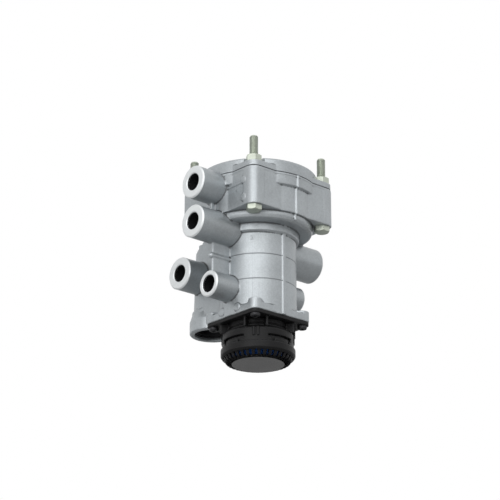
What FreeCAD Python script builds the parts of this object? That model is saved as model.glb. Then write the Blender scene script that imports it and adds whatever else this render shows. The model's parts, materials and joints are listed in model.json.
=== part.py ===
import FreeCAD, Part
import math
import os

os.makedirs("parts", exist_ok=True)

V = FreeCAD.Vector
UP = V(0, 0, 1)
TO_LEFT = V(-1, 0, 0)
TO_RIGHT = V(1, 0, 0)

# Clearances between pieces, on the radius unless said otherwise
RUN = 0.05  # stem in its guide, seal on its bore
SEAT = 0.1  # insert in its bore, both fixed
FREE = 0.4  # piston disc in its bore

# Silencer, counted up from its flat disc at height 0
DISC_R = 25.0
DISC_T = 2.0
DOME_H = 5.4
DOME_R = 31.6
GRILLE_T = 2.2
SLOTS = 36
SLOT_W = 2.4
CAP_RING_R = 34.1
CAP_RING_T = 1.4
CAP_RING_H = 8.1
CAP_EDGE = 1.2
CAP_COLLAR_T = 1.8
DRUM_WALL = 1.7
DRUM_H = 19.9  # from the ledge in the cap to the drum's shoulder
LEDGE_T = 2.2
SHOULDER_T = 2.0
SIL_NECK_R = 27.5
SIL_NECK_H = 8.3
SIL_NECK_RING = 0.9
SIL_MOUTH_R = 22.0
SIL_PLATE_T = 3.4
WINDOW_H = 6.0
WINDOW_ARC = 50.0  # degrees
WINDOW_UP = 6.5  # above the cap's ledge
TONGUE_CUT = 6.0  # degrees, the slits beside each tongue
TONGUE_AT = 17.0  # degrees either side of a window's middle
FLAP_R = 24.6
FLAP_T = 1.5
HUB_R = 5.0
HUB_H = 3.4
ARM_W = 3.0
FILTER_BORE_R = 9.0
FILTER_GAP = 0.4

# Screws that hold the silencer
FLANGE_SPACING = 57.0
FLANGE_LOBE_R = 6.0
SCREW_BOSS_R = 6.4
SCREW_BOSS_RISE = 3.2  # above the flange
EDGE_PAD_R = 3.4
EDGE_PAD_Y = 10.5
EDGE_PAD_OUT = 0.8
EDGE_PAD_SINK = 1.0
SCREW_R = 2.45
SCREW_HEAD_R = 4.5
SCREW_HEAD_H = 3.1
SCREW_GRIP = 5.6

# Body casting
FLANGE_T = 7.0
NECK_R = 35.5
NECK_RING_R = 38.0
NECK_RING_H = 6.8
NECK_H = 78.3  # from the flange's lower face to the neck ring
SHOULDER_R = 51.0
SHOULDER_ROUND = 4.0
SHOULDER_H = 7.7
LOWER_BAND_R = 53.1
UPPER_BAND_R = 55.4
LOWER_BAND_H = 24.5
UPPER_BAND_H = 11.8
WALL_HALF = 50.5
CORNER_R = 8.5
LIP_H = 1.8
LIP_OUT = 0.4
CHAMBER_R = 46.0
FLOOR_T = 6.2
UPPER_BORE_R = 28.0
LOWER_BORE_R = 29.0

# Cover, gasket and the four long bolts
STUD_SPACING = 84.0
GASKET_T = 0.6
EAR_T = 5.3
COVER_RISE = 6.8  # raised face above the ears
COVER_R = 55.5
COVER_ROUND = 2.0
COVER_ROOF_T = 4.0
COVER_POCKET_R = 40.0
COVER_POCKET_D = 1.6
COVER_RIBS = 8
COVER_RIB_W = 3.0
NUT_SPACE_R = 10.5
COVER_CLEAR = 0.5
BOLT_R = 4.0
SHANK_R = 3.6  # waisted to the thread's pitch radius as far as the nut's outer face
SHANK_STEP = 0.1
BOLT_HOLE_R = 4.4
BOLT_LENGTH = 68.0
HEX_AF = 13.0
HEAD_H = 5.3
HEAD_ROOM = 0.4  # round a bolt head, where the casting comes near
NUT_H = 6.5

# Ports: boss radius, thread radius, how far the face stands from the valve's axis, and the
# height above the flange's lower face
THREAD_16_R = 8.0
THREAD_22_R = 11.0
THREAD_DEPTH = 18.0
SMALL_THREAD_DEPTH = 14.0
DUCT_R = 5.0
HAND_DUCT_R = 3.5
SUPPLY_DUCT_R = 4.0
DUCT_INTO = 3.0  # how far a duct runs into the bore it serves
HAND_DUCT_DROP = 1.0
DELIVERY_DUCT_DROP = 9.0
TRAILER_DUCT_RISE = 5.0
BOSS_R = 15.35
SMALL_BOSS_R = 12.3
BIG_BOSS_R = 16.5
LONG_REACH = 79.2
SHORT_REACH = 60.0
DELIVERY_REACH = 68.2
TRAILER_REACH = 48.3
BOSS_EDGE = 1.0
MOUTH_EDGE = 0.8
CONTROL_UP = 118.9
SECOND_UP = 80.9
HAND_UP = 25.4
DELIVERY_UP = 71.3
TRAILER_UP = 32.6
SUPPLY_UP = 53.1
SUPPLY_REACH = 41.3  # from the side cylinder's axis

# Side cylinder
SIDE_X = -6.0
SIDE_Y = 56.6
SIDE_LOW_R = 17.8
SIDE_TOP_R = 16.2
SIDE_ROUND = 6.0
SIDE_TOP_UP = 86.8
COLLAR_UP = 0.8  # above the flange's lower face
COLLAR_R = 21.6
COLLAR_H = 12.0
COLLAR_CONE_H = 5.6
COLLAR_STEP_R = 19.4
COLLAR_STEP_H = 4.9
SIDE_MOUTH_R = 17.0
SIDE_MOUTH_DEPTH = 18.0
SIDE_BORE_R = 12.0
SIDE_BORE_H = 58.0
SIDE_WEB_X0 = -24.0
SIDE_WEB_X1 = 6.0

# Posts, pads and ledge on the square part
POST_W = 13.0
POST_OUT = 0.4
PAD_R = 3.2
PAD_OUT = 0.7
UPPER_PAD_DOWN = 12.0
LOWER_PAD_UP = 7.5
SHELF_DOWN = 3.0  # from the step between the two round bands
SHELF_T = 1.6
SHELF_OUT = 0.7

# Webs and ribs of the casting
WEB_T = 3.0
WEB_REACH = 56.0
WEB_BAR_R = 2.5
FRONT_RIB_W = 2.0
FRONT_RIB_OUT = 1.5
NECK_RIB_W = 3.6
NECK_RIB_OUT = 1.2

# Control piston
CONTROL_STROKE = 4.0
CROWN_T = 5.5
SKIRT_H = 11.0
SKIRT_T = 4.6
CROWN_UP = 17.0  # crown's top above the chamber floor
CONTROL_RING_R = 1.75
STEM_R = 10.0
STEM_GAP = 0.4  # left above the relay piston when the control piston is down
STEM_PLATE_T = 3.6
STEM_PLATE_R = 33.0
STEM_BOSS_R = 15.0
STEM_BOSS_H = 6.0
STEM_RING_R = 1.0

# Relay piston and valve seat
RELAY_CROWN_T = 6.0
RELAY_RING_R = 1.3
RELAY_UP = 16.0  # crown's underside above the seat insert
RELAY_TUBE_R = 9.0
RELAY_TUBE_BORE = 6.5
SEAT_INSERT_T = 6.0
SEAT_HOLE_R = 13.0
SEAT_LIP_T = 1.5
SEAT_LIP_H = 0.8
SEAT_UP = 54.0  # insert's top above the flange's lower face

# Inlet valve and lower guide
EXHAUST_GAP = 1.5
VALVE_R = 17.0
VALVE_T = 3.0
VALVE_RUBBER_T = 2.2
VALVE_RIM_T = 1.2
VALVE_RIM_DROP = 0.6
VALVE_TUBE_BORE = 6.5
VALVE_TUBE_R = 9.0
VALVE_TUBE_H = 28.0
GUIDE_UP = 4.4
GUIDE_H = 28.8
GUIDE_RING_R = 1.2
GUIDE_GROOVE_T = 3.0
GUIDE_LAND = 3.0  # from a face of the guide to its seal
GUIDE_RECESS_R = 18.0
GUIDE_RECESS_H = 9.0

# Retaining rings
CLIP_T = 1.2
CLIP_W = 3.2
CLIP_BITE = 1.4
CLIP_SHAKE = 0.1

# Spool in the side cylinder
SPOOL_LAND_H = 6.0
SPOOL_H = 46.0
SPOOL_WAIST_R = 6.0
SPOOL_FOOT_R = 7.0
SPOOL_FOOT_H = 6.0
SPOOL_RING_R = 1.0
PLUG_T = 13.4
PLUG_RING_R = 1.3
PLUG_WALL = 3.0
PLUG_CUP_D = 8.0
PLUG_RING_DOWN = 3.2  # seal below the plug's upper face
KNOB_R = 4.5
KNOB_BORE_R = 2.0
KNOB_H = 5.0

# Springs: mean coil radius, wire radius, turns
CONTROL_SPRING = (37.6, 1.3, 2.0)
RELAY_SPRING = (20.0, 1.1, 3.5)
INLET_SPRING = (13.0, 0.8, 2.5)
SIDE_SPRING = (8.0, 0.8, 4.0)
COIL_STEPS = 14  # straight pieces in a turn

# Heights worked out from the sizes above
LEDGE_Z = DOME_H + LEDGE_T
DRUM_TOP = LEDGE_Z + DRUM_H
PLATE_Z = DRUM_TOP + SIL_NECK_H
BASE = PLATE_Z + SIL_PLATE_T  # flange's lower face, where the silencer meets the casting
NECK_TOP = BASE + NECK_H
SHOULDER_Z = NECK_TOP + NECK_RING_H
SQUARE_Z = SHOULDER_Z + SHOULDER_H
LEDGE_UP_Z = SQUARE_Z + LOWER_BAND_H
HOUSING_TOP = LEDGE_UP_Z + UPPER_BAND_H
COVER_Z = HOUSING_TOP + GASKET_T
EAR_TOP = COVER_Z + EAR_T
COVER_TOP = EAR_TOP + COVER_RISE
FLOOR_Z = SHOULDER_Z + FLOOR_T
CLIP_ROOM = CLIP_T + CLIP_SHAKE
STEM_PLATE_Z = FLOOR_Z - CLIP_ROOM - STEM_PLATE_T
SEAT_TOP = BASE + SEAT_UP
SEAT_BASE = SEAT_TOP - SEAT_INSERT_T
SEAT_FACE = SEAT_BASE - SEAT_LIP_H
RELAY_BASE = SEAT_TOP + RELAY_UP
RELAY_TOP = RELAY_BASE + RELAY_CROWN_T
CROWN_TOP = FLOOR_Z + CROWN_UP
GUIDE_Z = BASE + GUIDE_UP
GUIDE_TOP = GUIDE_Z + GUIDE_H
COLLAR_Z = BASE + COLLAR_UP
SIDE_SHELF_Z = COLLAR_Z + SIDE_MOUTH_DEPTH
SIDE_BORE_TOP = SIDE_SHELF_Z + SIDE_BORE_H
PLUG_Z = SIDE_SHELF_Z - PLUG_T
SPOOL_Z = SIDE_SHELF_Z
CLIP_Z = PLUG_Z - CLIP_T
CORNERS = [(x, y) for x in (-1, 1) for y in (-1, 1)]
DRUM_IN_R = CAP_RING_R - CAP_RING_T - 2 * SEAT - DRUM_WALL


def cylinder(radius, length, x, y, z, direction=UP):
    return Part.makeCylinder(radius, length, V(x, y, z), direction)


def block(x0, x1, y0, y1, z0, z1):
    return Part.makeBox(x1 - x0, y1 - y0, z1 - z0, V(x0, y0, z0))


def ring(outer, inner, z, height, x=0, y=0):
    return cylinder(outer, height, x, y, z).cut(cylinder(inner, height, x, y, z))


def turned(points, x=0, y=0):
    """A solid of revolution about the vertical line through x, y, from (radius, height) pairs."""
    outline = [V(x + r, y, z) for r, z in points]
    outline.append(outline[0])
    return Part.Face(Part.makePolygon(outline)).revolve(V(x, y, 0), UP, 360)


def fuse_all(shapes):
    return shapes[0].multiFuse(shapes[1:]).removeSplitter()


def flat_face(corners):
    return Part.Face(Part.makePolygon(corners + [corners[0]]))


def seal(major, minor, z, x=0, y=0):
    """A sealing ring whose section is an octagon round its circle's outermost points."""
    section = []
    flat = minor * math.tan(math.pi / 8)
    for k in range(4):
        turn = math.pi / 2 * k
        for across in (-flat, flat):
            r = minor * math.cos(turn) - across * math.sin(turn)
            h = minor * math.sin(turn) + across * math.cos(turn)
            section.append((major + r, z + h))
    return turned(section, x, y)


def hexagon(across_flats, height, x, y, z):
    corner = across_flats / math.sqrt(3)
    points = []
    for k in range(7):
        angle = math.radians(60 * k)
        points.append(V(x + corner * math.cos(angle), y + corner * math.sin(angle), z))
    return Part.Face(Part.makePolygon(points)).extrude(V(0, 0, height))


def rounded_square(half, corner, z, height):
    square = block(-half, half, -half, half, z, z + height)
    uprights = [e for e in square.Edges if abs(e.tangentAt(e.FirstParameter).z) > 0.9]
    return square.makeFillet(corner, uprights)


def at_corners(spacing):
    return [(sx * spacing / 2, sy * spacing / 2) for sx, sy in CORNERS]


def coil_height(share, rise, dead_share):
    """The wire's height along a spring with closed ends, share running from 0 to 1."""
    live = (share - dead_share) / (1 - 2 * dead_share)
    return rise * min(1.0, max(0.0, live))


def coil(spring, z0, z1, x=0, y=0):
    """A spring with closed ends between two heights, in short straight pieces of six-sided wire."""
    mean_r, wire_r, turns = spring
    steps = int(COIL_STEPS * turns)
    rise = z1 - z0 - 2 * wire_r
    sections = []
    for k in range(steps + 1):
        share = k / steps
        angle = 2 * math.pi * turns * share
        height = z0 + wire_r + coil_height(share, rise, 0.4 / turns)
        section = []
        for side in range(6):
            turn = math.pi / 3 * (side + 0.5)
            r = mean_r + wire_r * math.cos(turn) / math.cos(math.pi / 6)
            h = height + wire_r * math.sin(turn)
            section.append(V(x + r * math.cos(angle), y + r * math.sin(angle), h))
        sections.append(section)
    faces = []
    for low, high in zip(sections, sections[1:]):
        for side in range(6):
            after = (side + 1) % 6
            faces.append(flat_face([low[side], low[after], high[after]]))
            faces.append(flat_face([low[side], high[after], high[side]]))
    for end in (sections[0], sections[-1]):
        faces.append(flat_face(end))
    return Part.Solid(Part.Shell(faces))


def retaining_ring(bore_r, z, x=0, y=0, gap_angle=200.0):
    """An inside retaining ring, open at one side, with an eye at each end."""
    outer = bore_r + CLIP_BITE - SEAT
    inner = bore_r - CLIP_W + CLIP_BITE
    body = ring(outer, inner, z, CLIP_T, x, y)
    mouth = block(0, outer + 1, -3.2, 3.2, z - 1, z + CLIP_T + 1)
    mouth.rotate(V(0, 0, 0), UP, gap_angle)
    mouth.translate(V(x, y, 0))
    body = body.cut(mouth)
    for side in (-1, 1):
        angle = math.radians(gap_angle) + side * math.asin(5.6 / inner)
        eye_x = x + (inner - 0.6) * math.cos(angle)
        eye_y = y + (inner - 0.6) * math.sin(angle)
        body = body.fuse(cylinder(2.2, CLIP_T, eye_x, eye_y, z))
        body = body.cut(cylinder(1.0, CLIP_T, eye_x, eye_y, z))
    return body


def boss(radius, x_face, y, z, x_root, direction):
    """A port boss whose face stands at x_face, with a chamfered rim."""
    length = abs(x_face - x_root)
    body = cylinder(radius, length, x_face, y, z, direction)
    circles = [e for e in body.Edges if len(e.Vertexes) == 1]
    rim = [e for e in circles if abs(e.CenterOfMass.x - x_face) < 0.01]
    return body.makeChamfer(BOSS_EDGE, rim)


def port_hole(thread_r, depth, x_face, y, z, direction, duct):
    """The tapped pocket, and the duct that leads on from it into the casting."""
    duct_r, duct_to, duct_z = duct
    inward = -1 if x_face > 0 else 1
    start = x_face + inward * (depth - 2.0)
    mouth = Part.makeCone(thread_r + MOUTH_EDGE, thread_r, MOUTH_EDGE, V(x_face, y, z), direction)
    pocket = cylinder(thread_r, depth, x_face, y, z, direction)
    way_in = cylinder(duct_r, abs(duct_to - start), start, y, duct_z, direction)
    return fuse_all([mouth, pocket, way_in])


def casting_outside():
    """The outer form of the body casting, before its ports and bores."""
    core = turned([
        (0, BASE), (NECK_R, BASE), (NECK_R, NECK_TOP - 1.6), (NECK_RING_R, NECK_TOP),
        (NECK_RING_R, SHOULDER_Z), (SHOULDER_R - SHOULDER_ROUND, SHOULDER_Z),
        (SHOULDER_R - 0.29 * SHOULDER_ROUND, SHOULDER_Z + 0.29 * SHOULDER_ROUND),
        (SHOULDER_R, SHOULDER_Z + SHOULDER_ROUND), (SHOULDER_R, SQUARE_Z),
        (LOWER_BAND_R, SQUARE_Z), (LOWER_BAND_R, LEDGE_UP_Z), (UPPER_BAND_R, LEDGE_UP_Z + 1.0),
        (UPPER_BAND_R, HOUSING_TOP), (0, HOUSING_TOP),
    ])
    square = rounded_square(WALL_HALF, CORNER_R, SQUARE_Z, LOWER_BAND_H + UPPER_BAND_H)
    lip = rounded_square(WALL_HALF + LIP_OUT, CORNER_R + LIP_OUT, HOUSING_TOP - LIP_H, LIP_H)
    lip_round = cylinder(UPPER_BAND_R + LIP_OUT, LIP_H, 0, 0, HOUSING_TOP - LIP_H)
    return [core, square, lip, lip_round]


def side_cylinder_outside():
    top = BASE + SIDE_TOP_UP
    step_z = COLLAR_Z + COLLAR_H + COLLAR_CONE_H
    neck_z = step_z + COLLAR_STEP_H
    straight = top - SIDE_ROUND
    body = turned([
        (0, COLLAR_Z), (COLLAR_R - 1.2, COLLAR_Z), (COLLAR_R, COLLAR_Z + 1.2),
        (COLLAR_R, COLLAR_Z + COLLAR_H), (COLLAR_STEP_R + 0.4, step_z), (COLLAR_STEP_R, step_z),
        (COLLAR_STEP_R, neck_z - 1.0), (SIDE_LOW_R, neck_z), (SIDE_TOP_R, straight),
        (SIDE_TOP_R - 0.29 * SIDE_ROUND, straight + 0.71 * SIDE_ROUND),
        (SIDE_TOP_R - SIDE_ROUND, top), (0, top),
    ], SIDE_X, SIDE_Y)
    head = cylinder(SIDE_TOP_R - SIDE_ROUND, SQUARE_Z - top + 1, SIDE_X, SIDE_Y, top - 1)
    web = block(SIDE_WEB_X0, SIDE_WEB_X1, 0.5 * NECK_R, SIDE_Y, BASE + FLANGE_T - 1, SHOULDER_Z + 1)
    return [body, head, web]


def webs():
    """The ribs that tie the port bosses to each other and run down the front."""
    second_z = BASE + SECOND_UP
    hand_z = BASE + HAND_UP
    control_z = BASE + CONTROL_UP
    plate = block(-WEB_REACH, 0, -WEB_T / 2, WEB_T / 2, hand_z, second_z)
    bar_z = (hand_z + second_z) / 2
    bar = cylinder(WEB_BAR_R, WEB_REACH, -WEB_REACH - 1.5, 0, bar_z, TO_RIGHT)
    tip = Part.makeCone(WEB_BAR_R, WEB_BAR_R * 0.5, WEB_BAR_R * 0.6, V(-WEB_REACH - 1.5, 0, bar_z), TO_LEFT)
    upper = block(-WEB_REACH - 2, 0, -WEB_T / 2, WEB_T / 2, second_z, control_z)
    front_x = FRONT_RIB_W / 2
    upper_rib = block(-front_x, front_x, -LOWER_BAND_R - FRONT_RIB_OUT, 0, SQUARE_Z - 1, LEDGE_UP_Z)
    top_rib = block(-front_x, front_x, -UPPER_BAND_R - FRONT_RIB_OUT, 0, LEDGE_UP_Z, HOUSING_TOP)
    heel = block(-front_x, front_x, -SHOULDER_R - FRONT_RIB_OUT, 0, SHOULDER_Z + 1.5, SQUARE_Z)
    neck_x = NECK_RIB_W / 2
    neck_rib = block(-neck_x, neck_x, -NECK_R - NECK_RIB_OUT, 0, BASE, NECK_TOP)
    flare = block(0, SHOULDER_R - 6, -WEB_T / 2, WEB_T / 2, BASE + DELIVERY_UP, SQUARE_Z)
    return [plate, bar, tip, upper, upper_rib, top_rib, heel, neck_rib, flare]


def bottom_flange():
    """The square flange, with a screw boss that runs from each corner in to the neck."""
    half = FLANGE_SPACING / 2 + FLANGE_LOBE_R
    plate = rounded_square(half, FLANGE_LOBE_R, BASE, FLANGE_T)
    parts = [plate]
    height = FLANGE_T + SCREW_BOSS_RISE
    corner_r = FLANGE_SPACING / math.sqrt(2)
    for k in range(4):
        boss_plan = cylinder(SCREW_BOSS_R, height, corner_r, 0, BASE)
        tie = block(0, corner_r, -SCREW_BOSS_R, SCREW_BOSS_R, BASE, BASE + height)
        boss_plan = boss_plan.fuse(tie)
        boss_plan.rotate(V(0, 0, 0), UP, 45 + 90 * k)
        parts.append(boss_plan)
    for y in (-EDGE_PAD_Y, EDGE_PAD_Y):
        pad_z = BASE + FLANGE_T - EDGE_PAD_SINK
        parts.append(cylinder(EDGE_PAD_R, 3 * EDGE_PAD_OUT, -half - EDGE_PAD_OUT, y, pad_z, TO_RIGHT))
    return parts


def corner_details():
    """The raised posts round the bolt holes, the ejector pads beside the front one, and a ledge."""
    edge = WALL_HALF - POST_W
    face = -WALL_HALF - POST_OUT
    upper = cylinder(PAD_R, 3 * PAD_OUT, face - PAD_OUT, -edge, HOUSING_TOP - UPPER_PAD_DOWN, TO_RIGHT)
    lower = cylinder(PAD_R, 3 * PAD_OUT, face - PAD_OUT, -edge, SQUARE_Z + LOWER_PAD_UP, TO_RIGHT)
    shelf_z = LEDGE_UP_Z - SHELF_DOWN
    shelf = block(-WALL_HALF - SHELF_OUT, 0, -edge, 0, shelf_z, shelf_z + SHELF_T)
    return [upper, lower, shelf] + [corner_post(x, y) for x, y in CORNERS]


def corner_post(x, y):
    """A thickening of the square wall round one bolt hole, with its outer edge rounded."""
    outer = rounded_square(WALL_HALF + POST_OUT, CORNER_R, SQUARE_Z, HOUSING_TOP - LIP_H - SQUARE_Z)
    reach = WALL_HALF + 2 * POST_OUT
    start = WALL_HALF - POST_W
    span_x = sorted((x * start, x * reach))
    span_y = sorted((y * start, y * reach))
    return outer.common(block(*span_x, *span_y, SQUARE_Z, HOUSING_TOP))


def port_list():
    """Each port: boss and thread radius, face x, y, height, then its duct's radius, end and drop."""
    control = BASE + CONTROL_UP
    second = BASE + SECOND_UP
    hand = BASE + HAND_UP
    delivery = BASE + DELIVERY_UP
    trailer = BASE + TRAILER_UP
    supply = BASE + SUPPLY_UP
    in_chamber = CHAMBER_R - DUCT_INTO
    in_upper = UPPER_BORE_R - DUCT_INTO
    in_lower = LOWER_BORE_R - DUCT_INTO
    in_side = SIDE_X - SIDE_BORE_R + DUCT_INTO
    side_x = SIDE_X - SUPPLY_REACH
    return [
        (BOSS_R, THREAD_16_R, -LONG_REACH, 0, control, DUCT_R, -in_chamber, 0),
        (BOSS_R, THREAD_16_R, -LONG_REACH, 0, second, DUCT_R, -in_upper, 0),
        (SMALL_BOSS_R, THREAD_16_R, -SHORT_REACH, 0, hand, HAND_DUCT_R, -in_lower, HAND_DUCT_DROP),
        (BIG_BOSS_R, THREAD_22_R, DELIVERY_REACH, 0, delivery, DUCT_R, in_upper, DELIVERY_DUCT_DROP),
        (SMALL_BOSS_R, THREAD_16_R, TRAILER_REACH, 0, trailer, DUCT_R, in_lower, -TRAILER_DUCT_RISE),
        (BOSS_R, THREAD_16_R, side_x, SIDE_Y, supply, DUCT_R, in_side, 0),
    ]


def bosses():
    shapes = []
    for radius, thread_r, x_face, y, z, duct_r, duct_to, duct_drop in port_list():
        direction = TO_RIGHT if x_face < 0 else TO_LEFT
        root = SIDE_X if y else 0
        shapes.append(boss(radius, x_face, y, z, root, direction))
    return shapes


def bores():
    """Everything that is cut out of the casting."""
    cuts = [
        cylinder(CHAMBER_R, HOUSING_TOP - FLOOR_Z, 0, 0, FLOOR_Z),
        cylinder(STEM_PLATE_R, FLOOR_Z - STEM_PLATE_Z, 0, 0, STEM_PLATE_Z),
        cylinder(STEM_PLATE_R + CLIP_BITE, CLIP_ROOM, 0, 0, FLOOR_Z - CLIP_ROOM),
        cylinder(UPPER_BORE_R, STEM_PLATE_Z - SEAT_TOP, 0, 0, SEAT_TOP),
        cylinder(LOWER_BORE_R, SEAT_TOP - BASE, 0, 0, BASE),
        cylinder(LOWER_BORE_R + CLIP_BITE, CLIP_ROOM, 0, 0, SEAT_BASE - CLIP_ROOM),
        cylinder(LOWER_BORE_R + CLIP_BITE, CLIP_ROOM, 0, 0, GUIDE_Z - CLIP_ROOM),
        cylinder(SIDE_MOUTH_R, SIDE_MOUTH_DEPTH, SIDE_X, SIDE_Y, COLLAR_Z),
        Part.makeCone(SIDE_MOUTH_R + 0.8, SIDE_MOUTH_R, 0.8, V(SIDE_X, SIDE_Y, COLLAR_Z), UP),
        cylinder(SIDE_MOUTH_R + CLIP_BITE, CLIP_ROOM, SIDE_X, SIDE_Y, PLUG_Z - CLIP_ROOM),
        cylinder(SIDE_BORE_R, SIDE_BORE_H, SIDE_X, SIDE_Y, SIDE_SHELF_Z),
    ]
    for radius, thread_r, x_face, y, z, duct_r, duct_to, duct_drop in port_list():
        direction = TO_RIGHT if x_face < 0 else TO_LEFT
        depth = SMALL_THREAD_DEPTH if radius == SMALL_BOSS_R else THREAD_DEPTH
        duct = (duct_r, duct_to, z - duct_drop)
        cuts.append(port_hole(thread_r, depth, x_face, y, z, direction, duct))
    inward = V(-SIDE_X, -SIDE_Y, 0)
    length = math.hypot(SIDE_X, SIDE_Y) - LOWER_BORE_R + DUCT_INTO
    height = GUIDE_TOP + SUPPLY_DUCT_R + 1.0
    cuts.append(cylinder(SUPPLY_DUCT_R, length, SIDE_X, SIDE_Y, height, inward))
    head_r = HEX_AF * 0.6 + HEAD_ROOM
    for x, y in at_corners(STUD_SPACING):
        cuts.append(cylinder(BOLT_HOLE_R, HOUSING_TOP - SQUARE_Z, x, y, SQUARE_Z))
        cuts.append(cylinder(head_r, HEAD_H + HEAD_ROOM, x, y, SQUARE_Z - HEAD_H - HEAD_ROOM))
    for x, y in at_corners(FLANGE_SPACING):
        cuts.append(cylinder(SCREW_R + RUN, SCREW_GRIP + 0.6, x, y, BASE))
    return cuts


def cover_room():
    """What the control port's boss loses where the cover stands beside it."""
    height = COVER_TOP - HOUSING_TOP
    round_room = cylinder(COVER_R + COVER_CLEAR, height, 0, 0, HOUSING_TOP)
    square_room = rounded_square(WALL_HALF + COVER_CLEAR, CORNER_R, HOUSING_TOP, height)
    return [round_room, square_room]


def body_casting():
    outside = casting_outside() + side_cylinder_outside() + webs() + bottom_flange()
    outside += corner_details() + bosses()
    solid = fuse_all(outside)
    cuts = bores() + cover_room()
    return solid.cut(cuts[0].multiFuse(cuts[1:]))


def cover():
    ears = rounded_square(WALL_HALF, CORNER_R, COVER_Z, EAR_T)
    raised = turned([
        (0, COVER_Z), (COVER_R, COVER_Z), (COVER_R, COVER_TOP - COVER_ROUND),
        (COVER_R - 0.29 * COVER_ROUND, COVER_TOP - 0.29 * COVER_ROUND),
        (COVER_R - COVER_ROUND, COVER_TOP), (0, COVER_TOP),
    ])
    for x, y in at_corners(STUD_SPACING):
        raised = raised.cut(cylinder(NUT_SPACE_R, COVER_RISE + 1, x, y, EAR_TOP))
    pocket = ring(COVER_POCKET_R, STEM_BOSS_R, COVER_TOP - COVER_POCKET_D, COVER_POCKET_D)
    body = ears.fuse(raised).cut(pocket)
    ribs = []
    for k in range(COVER_RIBS):
        low = COVER_TOP - COVER_POCKET_D - 1
        half = COVER_RIB_W / 2
        rib = block(STEM_BOSS_R - 1, COVER_POCKET_R + 1, -half, half, low, COVER_TOP)
        rib.rotate(V(0, 0, 0), UP, (k + 0.5) * 360 / COVER_RIBS)
        ribs.append(rib)
    body = body.multiFuse(ribs)
    inside = cylinder(CHAMBER_R, COVER_TOP - COVER_ROOF_T - COVER_Z, 0, 0, COVER_Z)
    holes = [cylinder(BOLT_HOLE_R, EAR_T, x, y, COVER_Z) for x, y in at_corners(STUD_SPACING)]
    return body.cut(inside.multiFuse(holes)).removeSplitter()


def cover_gasket():
    sheet = rounded_square(WALL_HALF, CORNER_R, HOUSING_TOP, GASKET_T)
    sheet = sheet.fuse(cylinder(UPPER_BAND_R, GASKET_T, 0, 0, HOUSING_TOP))
    middle = cylinder(CHAMBER_R, GASKET_T, 0, 0, HOUSING_TOP)
    holes = [cylinder(BOLT_HOLE_R, GASKET_T, x, y, HOUSING_TOP) for x, y in at_corners(STUD_SPACING)]
    return sheet.cut(middle.multiFuse(holes)).removeSplitter()


def cover_bolt(x, y):
    tip = SQUARE_Z + BOLT_LENGTH
    nut_face = EAR_TOP + NUT_H
    head = hexagon(HEX_AF, HEAD_H, x, y, SQUARE_Z - HEAD_H)
    low = SQUARE_Z - HEAD_H
    wide = HEX_AF * 0.6
    bevel = turned([
        (0, low), (HEX_AF / 2 - 0.4, low), (wide, low + 1.6), (wide, SQUARE_Z), (0, SQUARE_Z),
    ], x, y)
    shank = turned([
        (0, SQUARE_Z), (SHANK_R, SQUARE_Z), (SHANK_R, nut_face), (BOLT_R, nut_face + SHANK_STEP),
        (BOLT_R, tip - 0.9), (BOLT_R - 0.9, tip), (0, tip),
    ], x, y)
    return head.common(bevel).fuse(shank)


def cover_nut(x, y):
    bevel = turned([
        (0, EAR_TOP), (HEX_AF * 0.6, EAR_TOP), (HEX_AF * 0.6, EAR_TOP + NUT_H - 0.9),
        (HEX_AF / 2 - 0.3, EAR_TOP + NUT_H), (0, EAR_TOP + NUT_H),
    ], x, y)
    nut = hexagon(HEX_AF, NUT_H, x, y, EAR_TOP).common(bevel)
    return nut.cut(cylinder(SHANK_R + RUN, NUT_H, x, y, EAR_TOP))


def silencer_screw(x, y):
    head = turned([
        (0, PLATE_Z - SCREW_HEAD_H), (SCREW_HEAD_R - 1.4, PLATE_Z - SCREW_HEAD_H),
        (SCREW_HEAD_R, PLATE_Z - SCREW_HEAD_H + 1.6), (SCREW_HEAD_R, PLATE_Z), (0, PLATE_Z),
    ], x, y)
    shank = cylinder(SCREW_R, SIL_PLATE_T + SCREW_GRIP, x, y, PLATE_Z)
    socket = cylinder(1.6, 1.6, x, y, PLATE_Z - SCREW_HEAD_H)
    return head.fuse(shank).cut(socket)


def arc_wedge(outer, inner, z, height, middle, spread):
    """A piece of a ring, spread degrees wide about the middle direction."""
    face = Part.Face(Part.makePolygon([
        V(inner, 0, z), V(outer, 0, z), V(outer, 0, z + height), V(inner, 0, z + height), V(inner, 0, z),
    ]))
    face.rotate(V(0, 0, 0), UP, middle - spread / 2)
    return face.revolve(V(0, 0, 0), UP, spread)


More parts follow.
